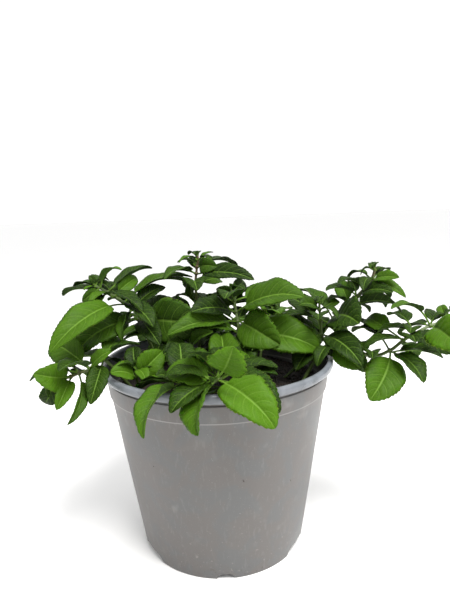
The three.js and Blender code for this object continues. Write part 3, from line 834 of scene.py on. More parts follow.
class Surface:
    """Points and faces with what is painted on them, gathered until they make one mesh."""

    def __init__(self):
        self.points = []
        self.faces = []
        self.slots = []
        self.uvs = []
        self.marks = {"tone": [], "flush": []}
        self.count = 0

    def add(self, points, faces, slots, uvs=None, tone=0.5, flush=0.0):
        """Adds a body: its points, its faces and their material slots, and what its points carry."""
        number = len(points)
        self.points.append(np.asarray(points, float))
        self.faces += [[i + self.count for i in face] for face in faces]
        self.slots += slots
        self.uvs.append(np.full((number, 2), 0.5) if uvs is None else uvs)
        for key, value in (("tone", tone), ("flush", flush)):
            self.marks[key].append(np.full(number, value) if np.isscalar(value) else value)
        self.count += number

    def mesh(self, name, materials):
        """The mesh of everything gathered."""
        made = bpy.data.meshes.new(name)
        made.from_pydata(np.concatenate(self.points).tolist(), [], self.faces)
        for each in materials:
            made.materials.append(each)
        made.polygons.foreach_set("material_index", self.slots)
        corners = np.zeros(len(made.loops), int)
        made.loops.foreach_get("vertex_index", corners)
        layer = made.uv_layers.new(name="blade")
        layer.data.foreach_set("uv", np.concatenate(self.uvs)[corners].ravel())
        for key, values in self.marks.items():
            attribute = made.attributes.new(key, "FLOAT", "POINT")
            attribute.data.foreach_set("value", np.concatenate(values).astype(np.float32))
        made.shade_smooth()
        made.update()
        return made


def tube_faces(rings, sides, start=0):
    """The quads between rings of equally many points, which are numbered from start."""
    faces = []
    for low in range(start, start + (rings - 1) * sides, sides):
        for k in range(sides):
            j = (k + 1) % sides
            faces.append([low + k, low + j, low + sides + j, low + sides + k])
    return faces


def unit(vector):
    """A vector at length 1."""
    return vector / np.linalg.norm(vector)


def direction(bearing, rise):
    """The unit vector at a compass bearing, counted from +X towards +Y, and a rise above the horizontal."""
    b, r = math.radians(bearing), math.radians(rise)
    return np.array([math.cos(r) * math.cos(b), math.cos(r) * math.sin(b), math.sin(r)])


def eased(value, low, high):
    """0 below low and 1 above high, with an eased step between them."""
    share = np.clip((value - low) / (high - low), 0, 1)
    return share * share * (3 - 2 * share)


def round_about(radius, height, sides):
    """A level ring of points about the pot's axis."""
    angles = [2 * math.pi * k / sides for k in range(sides)]
    return [(radius * math.cos(angle), radius * math.sin(angle), height) for angle in angles]


def route(plan):
    """A shoot's points from root to tip, with a point beyond each end to lead its curve."""
    points = np.array([plan["root"], *[each["at"] for each in plan["joints"]], plan["tip"]], float)
    return np.vstack([2 * points[0] - points[1], points, 2 * points[-1] - points[-2]])


def route_point(plan, share):
    """A point on a shoot's curve and the curve's direction there."""
    points = route(plan)
    lengths = len(points) - 3
    at = min(max(share, 0) * lengths, lengths)
    i = min(int(at), lengths - 1)
    t = at - i
    before, start, end, after = points[i : i + 4]
    lead, trail = (end - before) / 2, (after - start) / 2
    rest = -3 * start + 3 * end - 2 * lead - trail
    turn = 2 * start - 2 * end + lead + trail
    place = start + lead * t + rest * t**2 + turn * t**3
    return place, unit(lead + 2 * rest * t + 3 * turn * t**2)


# ---- Pot ----


def stretch(lift, *points):
    """Part of a section: its points as radius and height, and how high the foot's arches may lift them."""
    return [(radius, height, lift) for radius, height in points]


# The pot's section in millimetres, up the outside and down the inside.
POT_SECTION = [
    # the pad and the drain channel under the floor
    *stretch(0, (0, 0), (30, 0), (53.4, 0), (54.0, 0.5), (55.3, 5.5), (55.8, 6), (60, 6), (64.2, 6)),
    # the foot ring's inner face
    *stretch(5.8, (64.6, 5.6)),
    *stretch(5.9, (64.9, 4)),
    *stretch(6, (65.3, 2), (65.6, 0.3), (65.9, 0)),
    # the foot ring's outer face
    *stretch(14, (67.2, 0), (67.7, 0.2), (68.0, 0.8), (68.3, 2.5), (68.75, 5), (69.2, 8), (69.6, 11)),
    *stretch(14, (70.1, 14)),
    # the wall
    *stretch(0, (73.9, 39), (77.9, 65), (81.9, 91), (85.3, 113), (87.6, 128), (88.3, 132.2)),
    # the step and the skirt
    *stretch(0, (88.5, 132.7), (89.2, 133.0), (89.4, 133.4), (89.5, 134.2), (90.2, 139), (90.9, 145.2)),
    # the groove under the lip
    *stretch(0, (91.0, 145.9), (90.9, 146.2), (90.2, 146.4), (90.0, 146.8), (90.1, 148.2), (90.4, 149.0)),
    # the rolled lip
    *stretch(0, (91.2, 149.2), (93.0, 149.1), (93.9, 149.2), (94.6, 149.8), (94.95, 151.0), (95.0, 152.6)),
    *stretch(0, (94.8, 154.0), (94.3, 154.9), (93.5, 155.4), (92.6, 155.5), (91.6, 155.4), (90.7, 154.9)),
    *stretch(0, (90.2, 154.0), (89.9, 152.4), (89.6, 149.5)),
    # the inside
    *stretch(0, (88.2, 134.0), (87.2, 132.2), (84.1, 113), (76.7, 65), (69.0, 15)),
    # the floor over the drain channel, and in the middle
    *stretch(0, (68.0, 8.6), (67.4, 7.8), (66.4, 7.6), (60, 7.6), (54.6, 7.6), (53.8, 7.2)),
    *stretch(0, (52.6, 2.2), (51.8, 1.6), (30, 1.6), (0, 1.6)),
]
SECTION_PIECE = 3.0  # about how long a straight piece of the section may be, in millimetres
SHARP_EDGE = math.radians(40)

ARCH_COUNT = 3
ARCH_START = math.pi / 2  # the bearing of the first arch
SLOT_START = math.pi / 6
FOOT_ROOM = 10 * MM  # points that may be lifted by more than this are on the foot ring's outer face
FOOT_FLARE = 0.15  # how much that face widens as it is lifted, to keep the wall's slope
TINY = 1e-6

DRAIN_HOLES = 6
DRAIN_SIDES = 32
DRAIN_RING = 60 * MM
DRAIN_RADIUS = 3.2 * MM
DRAIN_LEVEL = 6.8 * MM  # the middle of the floor that the holes go through
DRAIN_DEPTH = 6 * MM
ONE_POINT = 0.01 * MM  # points nearer than this are joined


def arched(tree, entry, angle, kind, first):
    """How far the arches of a kind lift the foot at an angle. They stand evenly round it from the first."""
    pitch = 2 * math.pi / ARCH_COUNT
    turn = angle - (first - pitch / 2) + 4 * pitch  # never negative, so that its remainder isn't
    off = (tree.maths("MODULO", turn, pitch) - pitch / 2) * entry.also("Foot radius")
    share = off / (entry.also(kind + " width") * 0.5)
    crown = tree.maths("MAXIMUM", 1 - share * share * share * share, 0)
    return tree.maths("SQRT", crown) * entry.also(kind + " height")


def foot_lift(tree, entry, angle, height, room):
    """How far the arches and slots lift a point: less, the higher it stands in its room."""
    arch = arched(tree, entry, angle, "Arch", ARCH_START)
    slot = arched(tree, entry, angle, "Slot", SLOT_START)
    share = 1 - height / tree.maths("MAXIMUM", room, TINY)
    lift = tree.maths("MAXIMUM", arch, slot) * tree.maths("MAXIMUM", share, 0)
    return lift * tree.maths("GREATER_THAN", room, 10 * TINY)


def drilled(tree, body):
    """The body with its ring of drain holes."""
    ring = tree.add("GeometryNodeMeshCircle", {}, {"Vertices": DRAIN_HOLES, "Radius": DRAIN_RING})
    half_a_pitch = (0, 0, math.pi / DRAIN_HOLES)
    inputs = {"Geometry": ring, "Rotation": half_a_pitch, "Translation": (0, 0, DRAIN_LEVEL)}
    ring = tree.add("GeometryNodeTransform", {}, inputs)
    inputs = {"Vertices": DRAIN_SIDES, "Radius": DRAIN_RADIUS, "Depth": DRAIN_DEPTH}
    drill = tree.add("GeometryNodeMeshCylinder", {}, inputs)
    drills = tree.add("GeometryNodeInstanceOnPoints", {}, {"Points": ring, "Instance": drill})
    drills = tree.add("GeometryNodeRealizeInstances", {}, {"Geometry": drills})
    cut = {"operation": "DIFFERENCE", "solver": "EXACT"}
    return tree.add("GeometryNodeMeshBoolean", cut, {"Mesh 1": body, "Mesh 2": drills})


def sampled(tree, entry, value, row, kind):
    """What the point of a row of the section has."""
    inputs = {"Geometry": entry, "Value": value, "Index": row}
    return tree.add("GeometryNodeSampleIndex", {"data_type": kind, "domain": "POINT"}, inputs)


def pot_tree(paint):
    """Turns a section about the pot's axis, lifts the foot at its arches and slots, drills the floor."""
    lengths = ("Arch width", "Arch height", "Slot width", "Slot height", "Foot radius")
    numbers = {"Sides": "NodeSocketInt", "Rows": "NodeSocketInt"}
    numbers.update({label: "NodeSocketFloat" for label in lengths})

    def fill(tree, entry):
        sides, rows = entry.also("Sides"), entry.also("Rows")
        grid = tree.add("GeometryNodeMeshGrid", {}, {"Vertices X": sides + 1, "Vertices Y": rows})
        index = tree.add("GeometryNodeInputIndex")
        column = tree.maths("FLOOR", index / rows)
        row = index - column * rows
        point = sampled(tree, entry, tree.add("GeometryNodeInputPosition"), row, "FLOAT_VECTOR")
        reach = tree.add("GeometryNodeInputNamedAttribute", {"data_type": "FLOAT"}, {"Name": "lift"})
        room = sampled(tree, entry, reach, row, "FLOAT")
        radius = tree.add("ShaderNodeSeparateXYZ", {}, {"Vector": point})
        height = radius.also("Z")
        angle = column * 2 * math.pi / sides
        raised = foot_lift(tree, entry, angle, height, room)
        flare = FOOT_FLARE * tree.maths("GREATER_THAN", room, FOOT_ROOM)
        inputs = {"X": radius + raised * flare, "Y": 0.0, "Z": height + raised}
        inputs = {"Vector": tree.add("ShaderNodeCombineXYZ", {}, inputs), "Angle": angle}
        turned = tree.add("ShaderNodeVectorRotate", {"rotation_type": "Z_AXIS"}, inputs)
        body = tree.add("GeometryNodeSetPosition", {}, {"Geometry": grid, "Position": turned})
        body = tree.add("GeometryNodeMergeByDistance", {}, {"Geometry": body, "Distance": ONE_POINT})
        body = drilled(tree, body)
        return tree.add("GeometryNodeSetMaterial", {}, {"Geometry": body, "Material": paint})

    return geometry_tree("turned_pot", numbers, fill)


def refined_section():
    """The section with each long straight stretch cut into short ones."""
    points = []
    for (r0, z0, lift), (r1, z1, _) in zip(POT_SECTION, POT_SECTION[1:]):
        pieces = max(1, round(math.hypot(r1 - r0, z1 - z0) / SECTION_PIECE))
        for i in range(pieces):
            share = i / pieces
            points.append((r0 + (r1 - r0) * share, z0 + (z1 - z0) * share, lift))
    return [*points, POT_SECTION[-1]]


def make_pot(settings):
    """The nursery pot, in one piece."""
    points = refined_section()
    section = bpy.data.meshes.new("pot_section")
    section.from_pydata([(radius * MM, 0, height * MM) for radius, height, _ in points], [], [])
    reach = section.attributes.new("lift", "FLOAT", "POINT")
    reach.data.foreach_set("value", [lift * MM for _, _, lift in points])
    values = {
        "Sides": settings.sides,
        "Rows": len(points),
        "Arch width": settings.arch_width,
        "Arch height": settings.arch_height,
        "Slot width": settings.slot_width,
        "Slot height": settings.slot_height,
        "Foot radius": settings.foot_radius,
    }
    mesh = grown(section, pot_tree(pot_material(settings)), values)
    mesh.shade_smooth()
    mesh.set_sharp_from_angle(angle=SHARP_EDGE)
    return shown_piece("nursery_pot", mesh, ["pot"])


# ---- Soil ----

SOIL_RINGS = 70
SOIL_SIDES = 180
SOIL_RADIUS = 84.8 * MM
SOIL_TOP = SOIL_HIGH.z - 0.6 * MM
SOIL_ROUNDING = 2.5 * MM  # how far the top sinks towards its edge
SOIL_BOTTOM = 9 * MM
SOIL_SIDE = [(60 * MM, 75.4 * MM), (SOIL_BOTTOM, 67.2 * MM)]  # heights and radii, down the side

# The smallest and the largest crumbs and slivers, in crumb sizes.
CRUMB_SIZES = ((0.3, 0.3, 0.3), (1.3, 1.1, 0.9))
BARK_SIZES = ((1.0, 0.3, 0.2), (4.0, 0.6, 0.4))
BARK_SEED = 10  # how far the bark's seed is from the crumbs'
LEVEL_ENOUGH = 0.4  # how far up a face must look to hold crumbs
FULL_TURN = 6.28


def soil_height(x, y, share, lump_height):
    """The height of the soil's lumpy top, at a share of the way to its edge."""
    lump = noise.fractal(Vector((x, y, 0)) * 130, 0.9, 2.1, 4) * 0.55
    lump += noise.noise(Vector((x, y, 0.01)) * 45) * 0.9
    return SOIL_TOP - SOIL_ROUNDING * share**6 + lump * lump_height * 0.5


def soil_mesh(settings):
    """A closed body: a lumpy top, a tapering side and a flat bottom."""
    points = [(0, 0, SOIL_TOP)]
    for i in range(1, SOIL_RINGS + 1):
        share = i / SOIL_RINGS
        for x, y, _ in round_about(SOIL_RADIUS * share, 0, SOIL_SIDES):
            points.append((x, y, soil_height(x, y, share, settings.lump_height)))
    for height, radius in SOIL_SIDE:
        points += round_about(radius, height, SOIL_SIDES)
    points.append((0, 0, SOIL_BOTTOM))
    faces = [[0, k + 1, (k + 1) % SOIL_SIDES + 1] for k in range(SOIL_SIDES)]
    faces += [[a, d, c, b] for a, b, c, d in tube_faces(SOIL_RINGS + 2, SOIL_SIDES, 1)]
    last = 1 + (SOIL_RINGS + 1) * SOIL_SIDES
    end = len(points) - 1
    faces += [[end, last + (k + 1) % SOIL_SIDES, last + k] for k in range(SOIL_SIDES)]
    surface = Surface()
    surface.add(points, faces, [0] * len(faces))
    return surface.mesh("soil", [])


def scattered(tree, entry, density, sizes, paint, shift):
    """Small lumps strewn over the soil wherever it is level enough, turned every way."""
    seed = entry.also("Seed") + shift
    normal = tree.add("GeometryNodeInputNormal")
    height = tree.add("ShaderNodeSeparateXYZ", {}, {"Vector": normal}, "Z")
    inputs = {"Mesh": entry, "Density": entry.also(density), "Seed": seed}
    inputs["Selection"] = tree.maths("GREATER_THAN", height, LEVEL_ENOUGH)
    spots = tree.add("GeometryNodeDistributePointsOnFaces", {}, inputs)
    lump = tree.add("GeometryNodeMeshIcoSphere", {}, {"Radius": 1.0, "Subdivisions": 1})
    vectors = {"data_type": "FLOAT_VECTOR"}
    size = tree.add("FunctionNodeRandomValue", vectors, {0: sizes[0], 1: sizes[1], 8: seed + 1})
    inputs = {0: size, "Scale": entry.also("Crumb size")}
    size = tree.add("ShaderNodeVectorMath", {"operation": "SCALE"}, inputs)
    inputs = {0: (0, 0, 0), 1: (FULL_TURN, FULL_TURN, FULL_TURN), 8: seed + 2}
    turns = tree.add("FunctionNodeRandomValue", vectors, inputs)
    inputs = {"Points": spots, "Instance": lump, "Rotation": turns, "Scale": size}
    lumps = tree.add("GeometryNodeInstanceOnPoints", {}, inputs)
    lumps = tree.add("GeometryNodeRealizeInstances", {}, {"Geometry": lumps})
    return tree.add("GeometryNodeSetMaterial", {}, {"Geometry": lumps, "Material": paint})


def crumb_tree(soil, bark):
    """Scatters crumbs of soil and slivers of bark over the top, and joins them to it."""
    numbers = {label: "NodeSocketFloat" for label in ("Crumb size", "Crumbs", "Bark")}
    numbers["Seed"] = "NodeSocketInt"

    def fill(tree, entry):
        bed = tree.add("GeometryNodeSetMaterial", {}, {"Geometry": entry, "Material": soil})
        crumbs = scattered(tree, entry, "Crumbs", CRUMB_SIZES, soil, 0)
        slivers = scattered(tree, entry, "Bark", BARK_SIZES, bark, BARK_SEED)
        return tree.add("GeometryNodeJoinGeometry", {}, {"Geometry": [bed, crumbs, slivers]})

    return geometry_tree("soil_crumbs", numbers, fill)


def make_soil(settings):
    """The potting soil with its crumbs and bark, in one piece."""
    tree = crumb_tree(soil_material(settings), bark_material(settings))
    values = {
        "Crumb size": settings.crumb_size,
        "Crumbs": settings.crumb_density,
        "Bark": settings.bark_density,
        "Seed": settings.seed,
    }
    mesh = grown(soil_mesh(settings), tree, values)
    return shown_piece("potting_mix", mesh, ["potting_soil"])


# ---- Stems ----

STEM_TAPER = 0.4  # share of its thickness that a stem loses from root to tip
STEM_STEPS = 10  # lengths between two joints
STEM_SIDES = 20
STEM_INSET = 0.98  # keeps the shown stem inside its node
STEM_END = 0.965  # the share of the stem where it begins to narrow into its bud
STEM_NARROWING = 0.75
STEM_SLOT = 2  # of a shoot's materials

JOINT_SIDES = 20
JOINT_SWELL = 0.75  # how far a joint stands out of its stem
JOINT_DEPTH = 0.45  # how far it reaches into the stem
JOINT_PLAY = 0.25  # room between a stem and its joint as shown
JOINT_ASIDE = [0.31, 0.87, 0.38]  # any line that no stem runs along


def stem_half(plan, share):
    """Half of a stem's thickness at a share of its way from root to tip."""
    return plan["thickness"] / 2 * (1 - STEM_TAPER * share)


def redness(plan, share):
    """How red a stem is at a share of its way from root to tip."""
    return plan["flush"] * (0.4 + 0.8 * share)


def stem_tree(paint):
    """Sweeps a rounded square section along a shoot's route, as thick as its points say."""

    def fill(tree, entry):
        path = tree.add("GeometryNodeMeshToCurve", {}, {"Mesh": entry})
        half = tree.add("GeometryNodeInputNamedAttribute", {"data_type": "FLOAT"}, {"Name": "half"})
        ring = tree.add("GeometryNodeCurvePrimitiveCircle", {}, {"Resolution": STEM_SIDES, "Radius": 1.0})
        index = tree.add("GeometryNodeInputIndex")
        corner = tree.maths("COSINE", index * 8 * math.pi / STEM_SIDES)
        inputs = {0: tree.add("GeometryNodeInputPosition"), "Scale": 1 + corner * entry.also("Squareness")}
        squared = tree.add("ShaderNodeVectorMath", {"operation": "SCALE"}, inputs)
        ring = tree.add("GeometryNodeSetPosition", {}, {"Geometry": ring, "Position": squared})
        inputs = {"Curve": path, "Profile Curve": ring, "Scale": half, "Fill Caps": True}
        stem = tree.add("GeometryNodeCurveToMesh", {}, inputs)
        return tree.add("GeometryNodeSetMaterial", {}, {"Geometry": stem, "Material": paint})

    return geometry_tree("square_stem", {"Squareness": "NodeSocketFloat"}, fill)


def add_stem(surface, plan, tree, settings):
    """Grows a shoot's stem and adds it to a surface."""
    steps = (len(plan["joints"]) + 1) * STEM_STEPS
    shares = [i / steps for i in range(steps + 1)]
    places = [route_point(plan, share)[0] * MM for share in shares]
    path = bpy.data.meshes.new("stem_path")
    path.from_pydata([tuple(place) for place in places], [(i, i + 1) for i in range(steps)], [])
    ends = [1 - STEM_NARROWING * eased(share, STEM_END, 1) for share in shares]
    halves = [stem_half(plan, share) * MM * end * STEM_INSET for share, end in zip(shares, ends)]
    for name, values in (("half", halves), ("flush", [redness(plan, share) for share in shares])):
        attribute = path.attributes.new(name, "FLOAT", "POINT")
        attribute.data.foreach_set("value", values)
    mesh = grown(path, tree, {"Squareness": settings.squareness})
    points = np.zeros(len(mesh.vertices) * 3)
    mesh.vertices.foreach_get("co", points)
    flush = np.zeros(len(mesh.vertices))
    mesh.attributes["flush"].data.foreach_get("value", flush)
    faces = [list(face.vertices) for face in mesh.polygons]
    surface.add(points.reshape(-1, 3), faces, [STEM_SLOT] * len(faces), flush=flush)


def add_joint(surface, at, tangent, inner, height, flush):
    """The swollen joint that a pair of leaves grows from: a closed ring round the stem."""
    outer = inner + JOINT_SWELL
    section = [
        (inner - JOINT_DEPTH, -0.5),
        (inner + 0.05, -0.5),
        (outer - 0.15, -0.25),
        (outer, 0.0),
        (outer - 0.15, 0.28),
        (inner + 0.05, 0.5),
        (inner - JOINT_DEPTH, 0.5),
    ]
    across = unit(np.cross(tangent, JOINT_ASIDE))
    aside = np.cross(tangent, across)
    points = []
    for k in range(JOINT_SIDES):
        angle = 2 * math.pi * k / JOINT_SIDES
        out = across * math.cos(angle) + aside * math.sin(angle)
        points += [(at + out * radius + tangent * level * height) * MM for radius, level in section]
    number = len(section)
    faces = tube_faces(JOINT_SIDES, number)
    last = (JOINT_SIDES - 1) * number
    faces += [[last + k, last + (k + 1) % number, (k + 1) % number, k] for k in range(number)]
    surface.add(points, faces, [STEM_SLOT] * len(faces), flush=flush)


# ---- Leaves ----

# Where the points of half a row lie, from the midrib to the margin, and the whole row's.
HALF_COLUMNS = [0.06, 0.2, 0.36, 0.52, 0.68, 0.84, 1.0]
COLUMNS = np.array([-c for c in reversed(HALF_COLUMNS)] + [0.0] + HALF_COLUMNS)
STALK_ROWS = 6
FEWEST_ROWS, MOST_ROWS = 10, 76  # of a blade
STALK_HALF = 0.75  # half a stalk's width
STALK_THICK = 1.4
BLADE_BASE, BLADE_TIP = 0.55, 0.76  # how pointed a blade's base and tip are
FULL_WIDTH = 24  # the width of a blade that has its full relief
MIDRIB_HALF = 0.8
MIDRIB_THICK = 0.85
MIDRIB_GROOVE = 0.3
CURL_START = 0.6  # the share of the blade from which its tip curls down
MIDDLING_TONE = 0.38  # of a leaf whose tone isn't given
OWN_STRAY = 0.15  # the share of the usual spread of tones that a leaf with a given tone has


def leaf_habit(form, chance):
    """How a leaf differs from its neighbours: its ripple, bend, curl, twist, first tooth and tone."""
    habit = {
        "wave": chance.uniform(0, FULL_TURN),
        "bend": chance.uniform(-0.05, 0.05),
        "curl": chance.uniform(0.02, 0.08),
        "twist": math.radians(chance.uniform(-10, 10)),
        "shift": chance.uniform(0, 0.5),
    }
    stray = chance.uniform(-0.36, 0.38)
    given = form["tone"]
    habit["tone"] = MIDDLING_TONE + stray if given is None else given + stray * OWN_STRAY
    return habit


def leaf_shares(form, settings, detail):
    """The shares of a leaf's length where it has a row of points: the stalk's, then the blade's."""
    stalk = form["stalk"]
    rows = form["length"] * (1 - stalk) / (settings.row_length / MM) * detail
    blade = np.linspace(0, 1, int(min(max(rows, FEWEST_ROWS), MOST_ROWS)) + 1)
    return np.concatenate([np.linspace(0, stalk, STALK_ROWS, endpoint=False), stalk + (1 - stalk) * blade])


def leaf_spine(form, habit, at, tangent, reach, shares, t):
    """A leaf's midrib, row by row: its points, its direction, the way to the side and the way up."""
    along = direction(form["bearing"], form["rise"])
    level = direction(form["bearing"] + 90, 0)
    upright = np.cross(along, level)
    roll = math.radians(form["roll"])
    side = level * math.cos(roll) + upright * math.sin(roll)
    normal = upright * math.cos(roll) - level * math.sin(roll)
    start = at + unit(along - tangent * (along @ tangent)) * reach
    length = form["length"]
    bow = 4 * shares * (1 - shares)  # 1 at the middle and 0 at both ends
    curled = np.clip(t - CURL_START, 0, 1) ** 2 / (1 - CURL_START) ** 2
    centre = start + np.outer(shares * length, along)
    centre += np.outer(form["arch"] * bow, normal) + np.outer(habit["bend"] * length * bow, side)
    centre -= np.outer(habit["curl"] * length * curled, normal)
    slope = np.gradient(centre, shares, axis=0)
    slope /= np.linalg.norm(slope, axis=1)[:, None]
    turn = habit["twist"] * np.clip(t, 0, 1)
    sides = side * np.cos(turn)[:, None] + normal * np.sin(turn)[:, None]
    sides -= slope * np.sum(sides * slope, axis=1)[:, None]
    sides /= np.linalg.norm(sides, axis=1)[:, None]
    return centre, slope, sides, np.cross(slope, sides)


def blade_outline(share):
    """A blade's half width at a share of its length, as a share of its greatest."""
    widest = BLADE_BASE / (BLADE_BASE + BLADE_TIP)
    top = widest**BLADE_BASE * (1 - widest) ** BLADE_TIP
    return np.clip(share, 0, 1) ** BLADE_BASE * np.clip(1 - share, 0, 1) ** BLADE_TIP / top


def leaf_half(form, t, opened):
    """Half of a leaf's width in each row: the stalk's or the blade's, whichever is the wider."""
    blade = form["width"] / 2 * blade_outline(t)
    stalk = STALK_HALF * (1 - 0.2 * np.clip(t, 0, 1)) * (t < 0.5)
    return np.where(t > 0.97, blade, np.maximum(blade * opened, stalk))


def leaf_relief(form, habit, settings, size, t, half, opened):
    """How far a leaf's upper side stands above its spine: folded, quilted, rippled at the margin, grooved
    along the midrib, and rounded on the stalk."""
    w = COLUMNS[None, :]
    x = half * w
    phase = (t - VEIN_REACH * np.abs(w) ** VEIN_CURVE) * settings.veins
    pillow = np.abs(np.sin(np.pi * phase)) ** 0.8
    room = np.clip(half / (form["width"] / 2) * 1.4, 0, 1) * (1 - np.abs(w) ** 4) * np.abs(w) ** 0.5
    quilt = settings.quilting / MM * size * pillow * room
    lift = np.abs(x) * math.sin(math.radians(form["fold"])) * (1.12 - 0.35 * np.abs(w))
    ripple = 0.07 * half * np.abs(w) ** 3 * np.sin(14 * t + habit["wave"] + 2.2 * np.sign(w))
    groove = -MIDRIB_GROOVE * size * np.exp(-((x / MIDRIB_HALF) ** 2))
    crown = 0.4 * (1 - w**2) * (1 - opened)
    return (lift + quilt + ripple + groove) * opened + crown


def leaf_thickness(settings, size, t, half, opened):
    """A leaf's thickness: none at the margin, more at the midrib, and most on the stalk."""
    rim = np.clip(1 - COLUMNS[None, :] ** 2, 0, 1) ** 0.5
    midrib = np.exp(-((half * COLUMNS[None, :] / MIDRIB_HALF) ** 2))
    blade = settings.thickness / MM * rim + MIDRIB_THICK * size * (1 - 0.8 * np.clip(t, 0, 1)) * midrib
    return (blade * opened + STALK_THICK * rim * (1 - opened)) * (rim > 0)


def leaf_teeth(form, habit, settings, size, t, half, opened):
    """How far each point is pushed out along its row: only the margins are, into saw teeth."""
    pitch = settings.tooth_length / MM
    teeth = (t * form["length"] * (1 - form["stalk"]) / pitch + habit["shift"]) % 1.0
    tooth = settings.tooth_depth / MM * size * teeth * np.clip(half / 3, 0, 1) * opened
    return tooth * (np.abs(COLUMNS[None, :]) == 1) * np.sign(COLUMNS[None, :])


def add_leaf(surface, form, at, tangent, reach, chance, settings, detail=1.0):
    """A closed leaf: a grooved stalk that widens into a toothed blade, quilted between its veins."""
    habit = leaf_habit(form, chance)
    shares = leaf_shares(form, settings, detail)
    t = (shares - form["stalk"]) / (1 - form["stalk"])  # 0 where the blade begins and 1 at its tip
    centre, slope, sides, ups = leaf_spine(form, habit, at, tangent, reach, shares, t)
    opened = eased(t, -0.01, 0.05)
    size = np.clip(form["width"] / FULL_WIDTH, 0.25, 1.2)
    row, half, open_row = t[:, None], leaf_half(form, t, opened)[:, None], opened[:, None]
    top = leaf_relief(form, habit, settings, size, row, half, open_row)
    thick = leaf_thickness(settings, size, row, half, open_row)
    teeth = leaf_teeth(form, habit, settings, size, row, half, open_row)

    out = half * COLUMNS[None, :] * np.cos(math.radians(form["fold"]) * open_row) + teeth
    upper = centre[:, None, :] + sides[:, None, :] * out[..., None] + ups[:, None, :] * top[..., None]
    upper = upper + slope[:, None, :] * (np.abs(teeth) * 0.6)[..., None]
    lower = upper - ups[:, None, :] * thick[..., None]
    rings = np.concatenate([upper, lower[:, -2:0:-1, :]], axis=1)[:-1]
    points = np.vstack([rings.reshape(-1, 3), centre[-1], centre[0]]) * MM
    count, number = rings.shape[:2]
    faces = tube_faces(count, number)
    sided = [0] * (len(COLUMNS) - 1) + [1] * (number - len(COLUMNS) + 1)  # the slots round a ring
    slots = sided * (count - 1)
    last, tip, root = (count - 1) * number, count * number, count * number + 1
    for k in range(number):
        j = (k + 1) % number
        faces += [[last + k, last + j, tip], [j, k, root]]
        slots += [sided[k]] * 2
    on_stalk = STALK_SHARE * shares / max(form["stalk"], TINY)
    map_along = np.where(t < 0, on_stalk, STALK_SHARE + (1 - STALK_SHARE) * t)
    map_across = np.concatenate([COLUMNS, COLUMNS[-2:0:-1]]) / 2 + 0.5
    uvs = np.stack(np.broadcast_arrays(map_along[:-1, None], map_across[None, :]), axis=-1)
    uvs = np.vstack([uvs.reshape(-1, 2), [1, 0.5], [0, 0.5]])
    surface.add(points, faces, slots, uvs, habit["tone"])


# A bud's two whorls of scales: how far each is turned, and its scales' length and rise.
BUD_WHORLS = [(0, 5.2, 52), (60, 4.4, 74)]
BUD_SCALES = 3  # in a whorl
BUD_DETAIL = 1.6


def add_bud(surface, plan, chance, settings):
    """The scale leaves folded over the tip of a shoot."""
    tip, tangent = route_point(plan, 1)
    for turn, length, rise in BUD_WHORLS:
        for k in range(BUD_SCALES):
            bearing = turn + k * 360 / BUD_SCALES + chance.uniform(-12, 12)
            scale = leaf(bearing, rise, length, length * 0.62, 0.7, 0, fold=35, stalk=0.05, tone=0.3)
            add_leaf(surface, scale, tip - tangent * 0.8, tangent, 0.2, chance, settings, BUD_DETAIL)


# ---- Building the shoots ----

# How the frame's leaves grow, in millimetres and degrees.
COLLAR_PLAY = 0.65  # room for the bend of a stem inside a joint of the frame
COLLAR_WALL = 1.1
COLLAR_SIDES = 6
YOUNG_REACH = 0.35  # how far off the stem's axis a leaf that is still part of it starts
SIDE_SHARE = 0.8  # a side leaf's length as a share of its joint's first leaf
SIDE_SHORTEST, SIDE_LONGEST = 12, 40
SIDE_SLENDERNESS = 0.56  # a side leaf's width as a share of its length
SIDE_RISES = [15, -20]
SIDE_ARCH = 4
SIDE_STEP = 0.6  # how far above the main leaves a side leaf leaves the stem
# Side leaves, tucked between the main ones inside the canopy, get a darker tone as painted shade.
SIDE_SHADED_TONE = 0.2
TURN_STEP = 5  # degrees that a leaf with something in its way turns aside at its first try
TURN_TRIES = 60
GOLDEN_ANGLE = 137.5  # degrees between the sides that two tries in a row turn to
TIP_MATCH = 0.06  # how near a corner of the frame must be to a leaf's tip
FIRST_SEED = 100


def widest_gap(bearings):
    """The middle of the widest gap between bearings."""
    ordered = sorted(bearing % 360 for bearing in bearings)
    gaps = [after - bearing for bearing, after in zip(ordered, [*ordered[1:], ordered[0] + 360])]
    widest = gaps.index(max(gaps))
    return ordered[widest] + gaps[widest] / 2


def side_leaves(main):
    """The smaller leaves that a joint grows in the widest gaps between its main ones."""
    bearings = [form["bearing"] for form in main]
    length = min(max(main[0]["length"] * SIDE_SHARE, SIDE_SHORTEST), SIDE_LONGEST)
    width = length * SIDE_SLENDERNESS
    made = []
    for rise in SIDE_RISES:
        bearings.append(widest_gap(bearings))
        made.append(leaf(bearings[-1], rise, length, width, SIDE_ARCH, 0, tone=SIDE_SHADED_TONE))
    return made


def grown_leaf(form, at, tangent, reach, corners):
    """The leaf turned aside as the frame's is, or None where the frame has none. The tries to turn aside
    wind outwards like the seeds of a sunflower, and the right one has a corner of the frame at its tip."""
    for tries in range(TURN_TRIES):
        turn, side = TURN_STEP * math.sqrt(tries), math.radians(GOLDEN_ANGLE * tries)
        bearing, rise = form["bearing"] + turn * math.cos(side), form["rise"] + turn * math.sin(side)
        along = direction(bearing, rise)
        start = at + unit(along - tangent * (along @ tangent)) * reach
        tip = start + along * form["length"]
        if np.linalg.norm(corners - tip, axis=1).min() < TIP_MATCH:
            return {**form, "bearing": bearing, "rise": rise}
    return None


